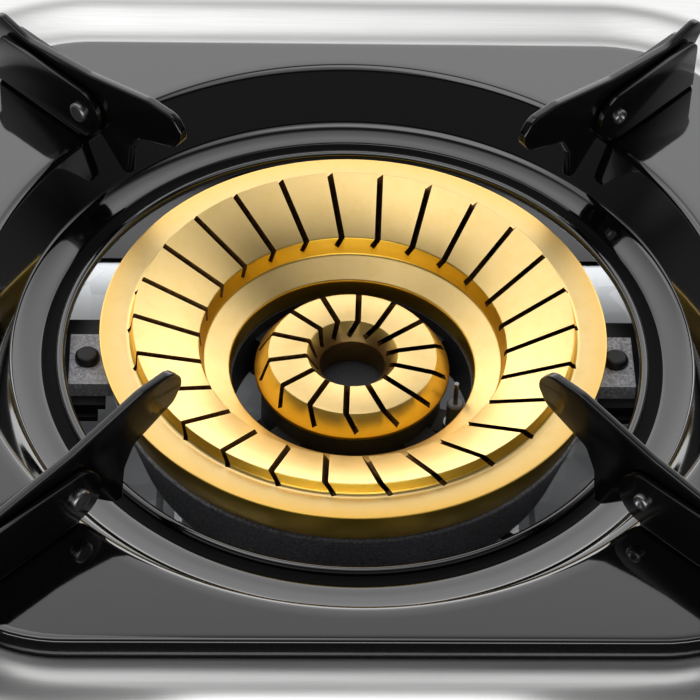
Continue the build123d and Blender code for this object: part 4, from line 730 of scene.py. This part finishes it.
def makeBracket(corner, angle):
    look = bracketLook
    bm = bmesh.new()
    for side in (-1, 1):
        addPart(bm, makeCheek(side))
    web = bmesh.ops.create_cube(bm, size=1.0)["verts"]
    middle = Vector(((look["webFront"] + look["webRear"]) / 2, 0, look["sheet"] / 2)) * mm
    size = Vector((look["webRear"] - look["webFront"], look["gap"] + look["webOverlap"], look["sheet"])) * mm
    bmesh.ops.transform(bm, matrix=Matrix.Translation(middle) @ Matrix.Diagonal((*size, 1)), verts=web)
    bmesh.ops.transform(bm, matrix=burnerTurn(angle), verts=bm.verts[:])
    finishPiece(
        bm, "fingerBracket_" + corner, "pan_tray", "fingerEnamel",
        ["finger_bracket_" + corner], sharpAngle=50, merge=look["merge"])


# the outline runs from the middle of one head to the middle of the other, as (across, out)
rivetLook = {
    "pivot": (98.4, 9.4), "steps": 36,
    "outline": [
        (-3.7, 0.0), (-3.85, 0.85), (-4.7, 1.15), (-4.8, 1.35), (-4.8, 1.75), (-4.55, 2.05), (-4.1, 2.15),
        (-3.5, 2.15), (-3.5, 1.9), (3.5, 1.9), (3.5, 2.75), (4.3, 2.8), (4.7, 2.65), (4.95, 2.3), (5.0, 1.8),
        (4.92, 1.0), (4.9, 0.0)],
}


def makeRivet(corner, angle):
    look = rivetLook
    bm = bmesh.new()
    radius, height = look["pivot"]
    points = [(radius, across, height + out) for across, out in look["outline"]]
    spinAround(bm, points, (radius, 0, height), (0, 1, 0), look["steps"], closed=False)
    bmesh.ops.transform(bm, matrix=burnerTurn(angle), verts=bm.verts[:])
    finishPiece(
        bm, "fingerRivet_" + corner, "pan_tray", "rivetSteel", ["finger_rivet_" + corner],
        sharpAngle=50)


for corner, angle in fingerAngles.items():
    makeBracket(corner, angle)
    makeRivet(corner, angle)
print("brackets and rivets made")


# burner caps: spun blanks with rounded rings, sawn by thin leaning cutters. A cut passes through start and
# goes sideways by skew for each mm outwards and by lean for each mm down. Its outline in radius and height
# is saw

outerCapLook = {
    "blank": [
        (31.7, -18.5), (38.6, -15.4), (39.6, -10.3), (56.4, -2.05), (57.2, -5.6), (65.2, -5.0), (62.4, -15.8),
        (59.6, -15.8), (61.7, -8.4), (55.0, -8.4), (55.0, -5.75), (41.0, -13.3), (41.0, -18.2), (35.0, -21.3),
        (35.0, -23.8), (31.7, -23.8)],
    "rings": [
        (56.4, -2.05, 0.35, 3), (57.2, -5.6, 1.2, 5), (65.2, -5.0, 0.6, 4), (62.4, -15.8, 0.4, 2),
        (39.6, -10.3, 0.25, 2), (38.6, -15.4, 0.5, 3), (31.7, -18.5, 0.5, 3)],
    "start": (56.4, -2.05), "skew": 0.40, "lean": 0.62, "width": 1.3, "count": 26, "first": -98.4,
    "saw": [(37.6, -13.5), (57.7, -5.6), (57.7, 0.5), (37.6, 0.5)],
    "steps": 208,
}
innerCapLook = {
    "blank": [
        (8.4, -18.1), (11.9, -13.8), (21.7, -13.8), (25.3, -19.0), (25.3, -19.8), (20.6, -19.8),
        (20.6, -22.6), (18.4, -22.6), (18.4, -16.6), (10.8, -16.6), (10.8, -25.0), (8.4, -25.0)],
    "rings": [(8.4, -18.1, 0.3, 2), (11.9, -13.8, 0.3, 2), (21.7, -13.8, 0.3, 2), (25.3, -19.0, 0.25, 2)],
    "start": (21.7, -13.8), "skew": 0.05, "lean": 0.72, "width": 1.3, "count": 14, "first": -95.6,
    "saw": [(8.8, -17.0), (27.3, -18.1), (27.3, -11.8), (8.8, -11.8)],
    "steps": 112,
}
blankAngle = 35     # degrees, an edge sharper than this stays sharp before the cut
sawnAngle = 30      # and after it


# all the saw cuts of one cap as one object of thin blocks
def makeSaws(look):
    bm = bmesh.new()
    startRadius, startHeight = look["start"]
    normal = Vector((-look["skew"], 1, look["lean"])).normalized() * look["width"] * mm
    points = []
    for radius, height in look["saw"]:
        across = look["skew"] * (radius - startRadius) + look["lean"] * (startHeight - height)
        points.append((radius, across, height))
    for index in range(look["count"]):
        block = bmesh.new()
        plateFace(block, points, {})
        thicken(block, -normal / 2, normal)
        turn = look["first"] + 360 * index / look["count"]
        bmesh.ops.transform(block, matrix=burnerTurn(turn), verts=block.verts[:])
        addPart(bm, block)
    # the cut walls get the second finish, painted near black as painted shade
    for face in bm.faces:
        face.material_index = 1
    mesh = bpy.data.meshes.new("sawCuts")
    bm.to_mesh(mesh)
    bm.free()
    for finish in ("brass", "sawnBrass"):
        mesh.materials.append(looks[finish])
    return linkObject("sawCuts", mesh)


def makeCap(name, look, body, node):
    bm = bmesh.new()
    spinBurner(bm, look["blank"], look["steps"])
    for ring in look["rings"]:
        roundRing(bm, *ring)
    cap = finishPiece(bm, name, body, "brass", [node], blankAngle)
    cap.data.materials.append(looks["sawnBrass"])
    saws = makeSaws(look)
    cut = cap.modifiers.new("cut", "BOOLEAN")
    cut.operation = "DIFFERENCE"
    cut.solver = "EXACT"
    cut.object = saws
    bpy.context.view_layer.update()
    sawn = bpy.data.meshes.new_from_object(cap.evaluated_get(bpy.context.evaluated_depsgraph_get()))
    cap.modifiers.clear()
    cap.data = sawn
    bpy.data.objects.remove(saws)
    shadeSmooth(sawn, sawnAngle)
    print(name, "faces", len(sawn.polygons))


makeCap("outerBurnerCap", outerCapLook, "outer_cap", "outer_burner_cap")
makeCap("innerBurnerCap", innerCapLook, "inner_cap", "inner_burner_cap")
print("caps made")


# return spring of the tap, which shortens as the knob is pushed in; here a coil of fixed length

springLook = {
    "radius": 5.4, "wire": 0.35, "turns": 3, "turnSteps": 40, "wireSteps": 10,
    "backY": -158.1, "length": 7.0, "gap": 0.05, "keep": 0.5,
}


def makeSpring():
    look = springLook
    bm = bmesh.new()
    inset = look["wire"] + look["gap"]
    steps = look["turns"] * look["turnSteps"]
    run = look["length"] - 2 * inset
    end = bmesh.ops.create_circle(
        bm, cap_ends=True, radius=look["wire"] * mm, segments=look["wireSteps"])["verts"]
    place = Matrix.Translation(Vector((look["radius"], look["backY"] - inset, tapZ)) * mm)
    bmesh.ops.transform(bm, matrix=place @ Matrix.Rotation(math.pi / 2, 4, "Z"), verts=end)
    bmesh.ops.spin(
        bm, geom=bm.verts[:] + bm.edges[:] + bm.faces[:], cent=(0, 0, tapZ * mm), axis=(0, -1, 0),
        dvec=(0, -run / steps * mm, 0), angle=math.tau * look["turns"], steps=steps, use_duplicate=False)
    spring = finishPiece(
        bm, "returnSpring", "stove_body", "zinc", ["return_spring"], sharpAngle=50)
    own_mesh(spring)


makeSpring()
print("spring made")


# dial marks: a bar for off at the top of the bezel, and dots on the panel that shrink with the flame

dialLook = {
    "radius": 31.0, "panelY": -170.7, "thick": 0.12, "dots": 8, "from": 125, "to": 265,
    "big": 1.75, "small": 0.65, "dotSteps": 24, "offBar": (1.3, 2.2), "offRadius": 24.6, "bezelY": -172.7,
    "merge": 0.0001,
}


def makeDial():
    look = dialLook
    bm = bmesh.new()
    thick = look["thick"]
    for index in range(look["dots"]):
        share = index / (look["dots"] - 1)
        angle = math.radians(look["from"] + share * (look["to"] - look["from"]))
        size = (look["big"] + share * (look["small"] - look["big"])) * mm
        dot = bmesh.ops.create_cone(
            bm, cap_ends=True, segments=look["dotSteps"], radius1=size, radius2=size,
            depth=thick * mm)["verts"]
        across, up = look["radius"] * math.cos(angle), look["radius"] * math.sin(angle)
        place = Vector((across, look["panelY"] - thick / 2, tapZ + up))
        stand = Matrix.Translation(place * mm) @ Matrix.Rotation(math.pi / 2, 4, "X")
        bmesh.ops.transform(bm, matrix=stand, verts=dot)
    wide, high = look["offBar"]
    bar = bmesh.ops.create_cube(bm, size=1.0)["verts"]
    place = Vector((0, look["bezelY"] - thick / 2, tapZ + look["offRadius"]))
    size = Vector((wide, thick, high)) * mm
    bmesh.ops.transform(bm, matrix=Matrix.Translation(place * mm) @ Matrix.Diagonal((*size, 1)), verts=bar)
    finishPiece(bm, "dialMarks", "stove_body", "shell", (), sharpAngle=40, merge=look["merge"])


makeDial()
print("dial made")


# floor, camera and light

floorLook = {"half": 6.0, "color": (0.86, 0.86, 0.85, 1), "roughness": 0.7}


def makeStage():
    bm = bmesh.new()
    bmesh.ops.create_grid(bm, x_segments=2, y_segments=2, size=floorLook["half"])
    mesh = bpy.data.meshes.new("floor")
    bm.to_mesh(mesh)
    bm.free()
    floor = linkObject("floor", mesh)
    paint = startMaterial("paleFloor", Base_Color=floorLook["color"], Roughness=floorLook["roughness"])[0]
    mesh.materials.append(paint)


# fitted to the photograph's circles and square. Angles are in degrees
cameraLook = {
    "place": (-0.030165, -0.571106, 0.687751), "pitch": 45.268, "yaw": 2.802, "roll": 2.335,
    "sensor": 36.0, "lens": 170.75, "clip": 0.01,
}


def makeCamera():
    look = cameraLook
    lens = bpy.data.cameras.new("camera")
    lens.sensor_width = look["sensor"]
    lens.lens = look["lens"]
    lens.clip_start = look["clip"]
    holder = linkObject("camera", lens)
    pitch, yaw, roll = (math.radians(look[name]) for name in ("pitch", "yaw", "roll"))
    turned = Matrix.Rotation(-yaw, 4, "Z") @ Matrix.Rotation(math.pi / 2 - pitch, 4, "X")
    holder.matrix_world = Matrix.Translation(look["place"]) @ turned @ Matrix.Rotation(roll, 4, "Z")
    bpy.context.scene.camera = holder


# soft studio round the stove: a bright band behind and at the sides, dark in front and at the horizon. Spans
# are of a direction's height or of its share towards the back
studioLook = {
    "front": 0.085, "bright": 1.42, "rear": (0.02, 0.42), "rearFrom": (0.55, 0.85), "rearDrop": 0.30,
    "low": 0.03, "bandStart": (0.27, 0.50), "bandFade": (0.66, 0.79), "bandHigh": 0.5,
    "bandEnd": (0.79, 0.86), "bandRest": 0.08, "glow": (0.30, 0.45), "glowRise": 2.0,
    "crownStart": (0.88, 0.95), "crown": 0.68, "crownFront": (-0.6, 0.05),
}


def makeStudio():
    look = studioLook
    world = bpy.data.worlds.new("studio")
    bpy.context.scene.world = world
    world.use_nodes = True
    tree = world.node_tree
    background = tree.nodes["Background"]
    background.inputs["Color"].default_value = (1, 1, 1, 1)
    along, height = splitVector(tree, addNode(tree, "ShaderNodeTexCoord").outputs["Generated"])[1:]

    def addStep(value, name, low, high):
        return addRange(tree, value, low, high, look[name], "SMOOTHSTEP")

    lowered = doMath(tree, "ADD", height, addStep(along, "rearFrom", 0.0, look["rearDrop"]))
    steps = [
        addStep(along, "rear", look["front"], look["bright"]),
        addStep(lowered, "bandStart", look["low"], 1.0),
        addStep(height, "bandFade", 1.0, look["bandHigh"]),
        addStep(height, "bandEnd", 1.0, look["bandRest"]),
        addStep(height, "glow", look["glowRise"], 1.0)]
    band = steps[0]
    for step in steps[1:]:
        band = doMath(tree, "MULTIPLY", band, step)
    crown = doMath(tree, "MULTIPLY", addStep(height, "crownStart", 0.0, look["crown"]),
                   addStep(along, "crownFront", look["front"], look["bright"]))
    tree.links.new(doMath(tree, "MAXIMUM", band, crown), background.inputs["Strength"])


# places and sizes in metres, power in watts. The case lights stand in the case, over the rear of the pan
lamps = [
    {"name": "topPanel", "place": (-0.35, 0.35, 1.3), "target": (0, 0.03, 0.09),
     "size": (0.9, 0.9), "power": 2},
    {"name": "frontFill", "place": (-0.1, -1.77, 0.35), "target": (0, 0.03, 0.07),
     "size": (2.6, 0.8), "power": 20},
] + [
    {"name": "caseLight", "place": (across, 0.158, 0.032), "target": (across, 0.128, 0.002),
     "size": (0.09, 0.03), "power": 0.018} for across in (-0.078, 0.078)]


def areaLight(name, place, target, size, power):
    lamp = bpy.data.lights.new(name, "AREA")
    lamp.shape = "RECTANGLE"
    lamp.size, lamp.size_y = size
    lamp.energy = power
    holder = linkObject(name, lamp)
    holder.location = place
    holder.rotation_euler = (Vector(target) - Vector(place)).to_track_quat("-Z", "Y").to_euler()
    holder.visible_camera = False


makeStage()
makeCamera()
makeStudio()
for lamp in lamps:
    areaLight(**lamp)
bpy.context.scene.view_settings.view_transform = "Standard"
print("stage made")
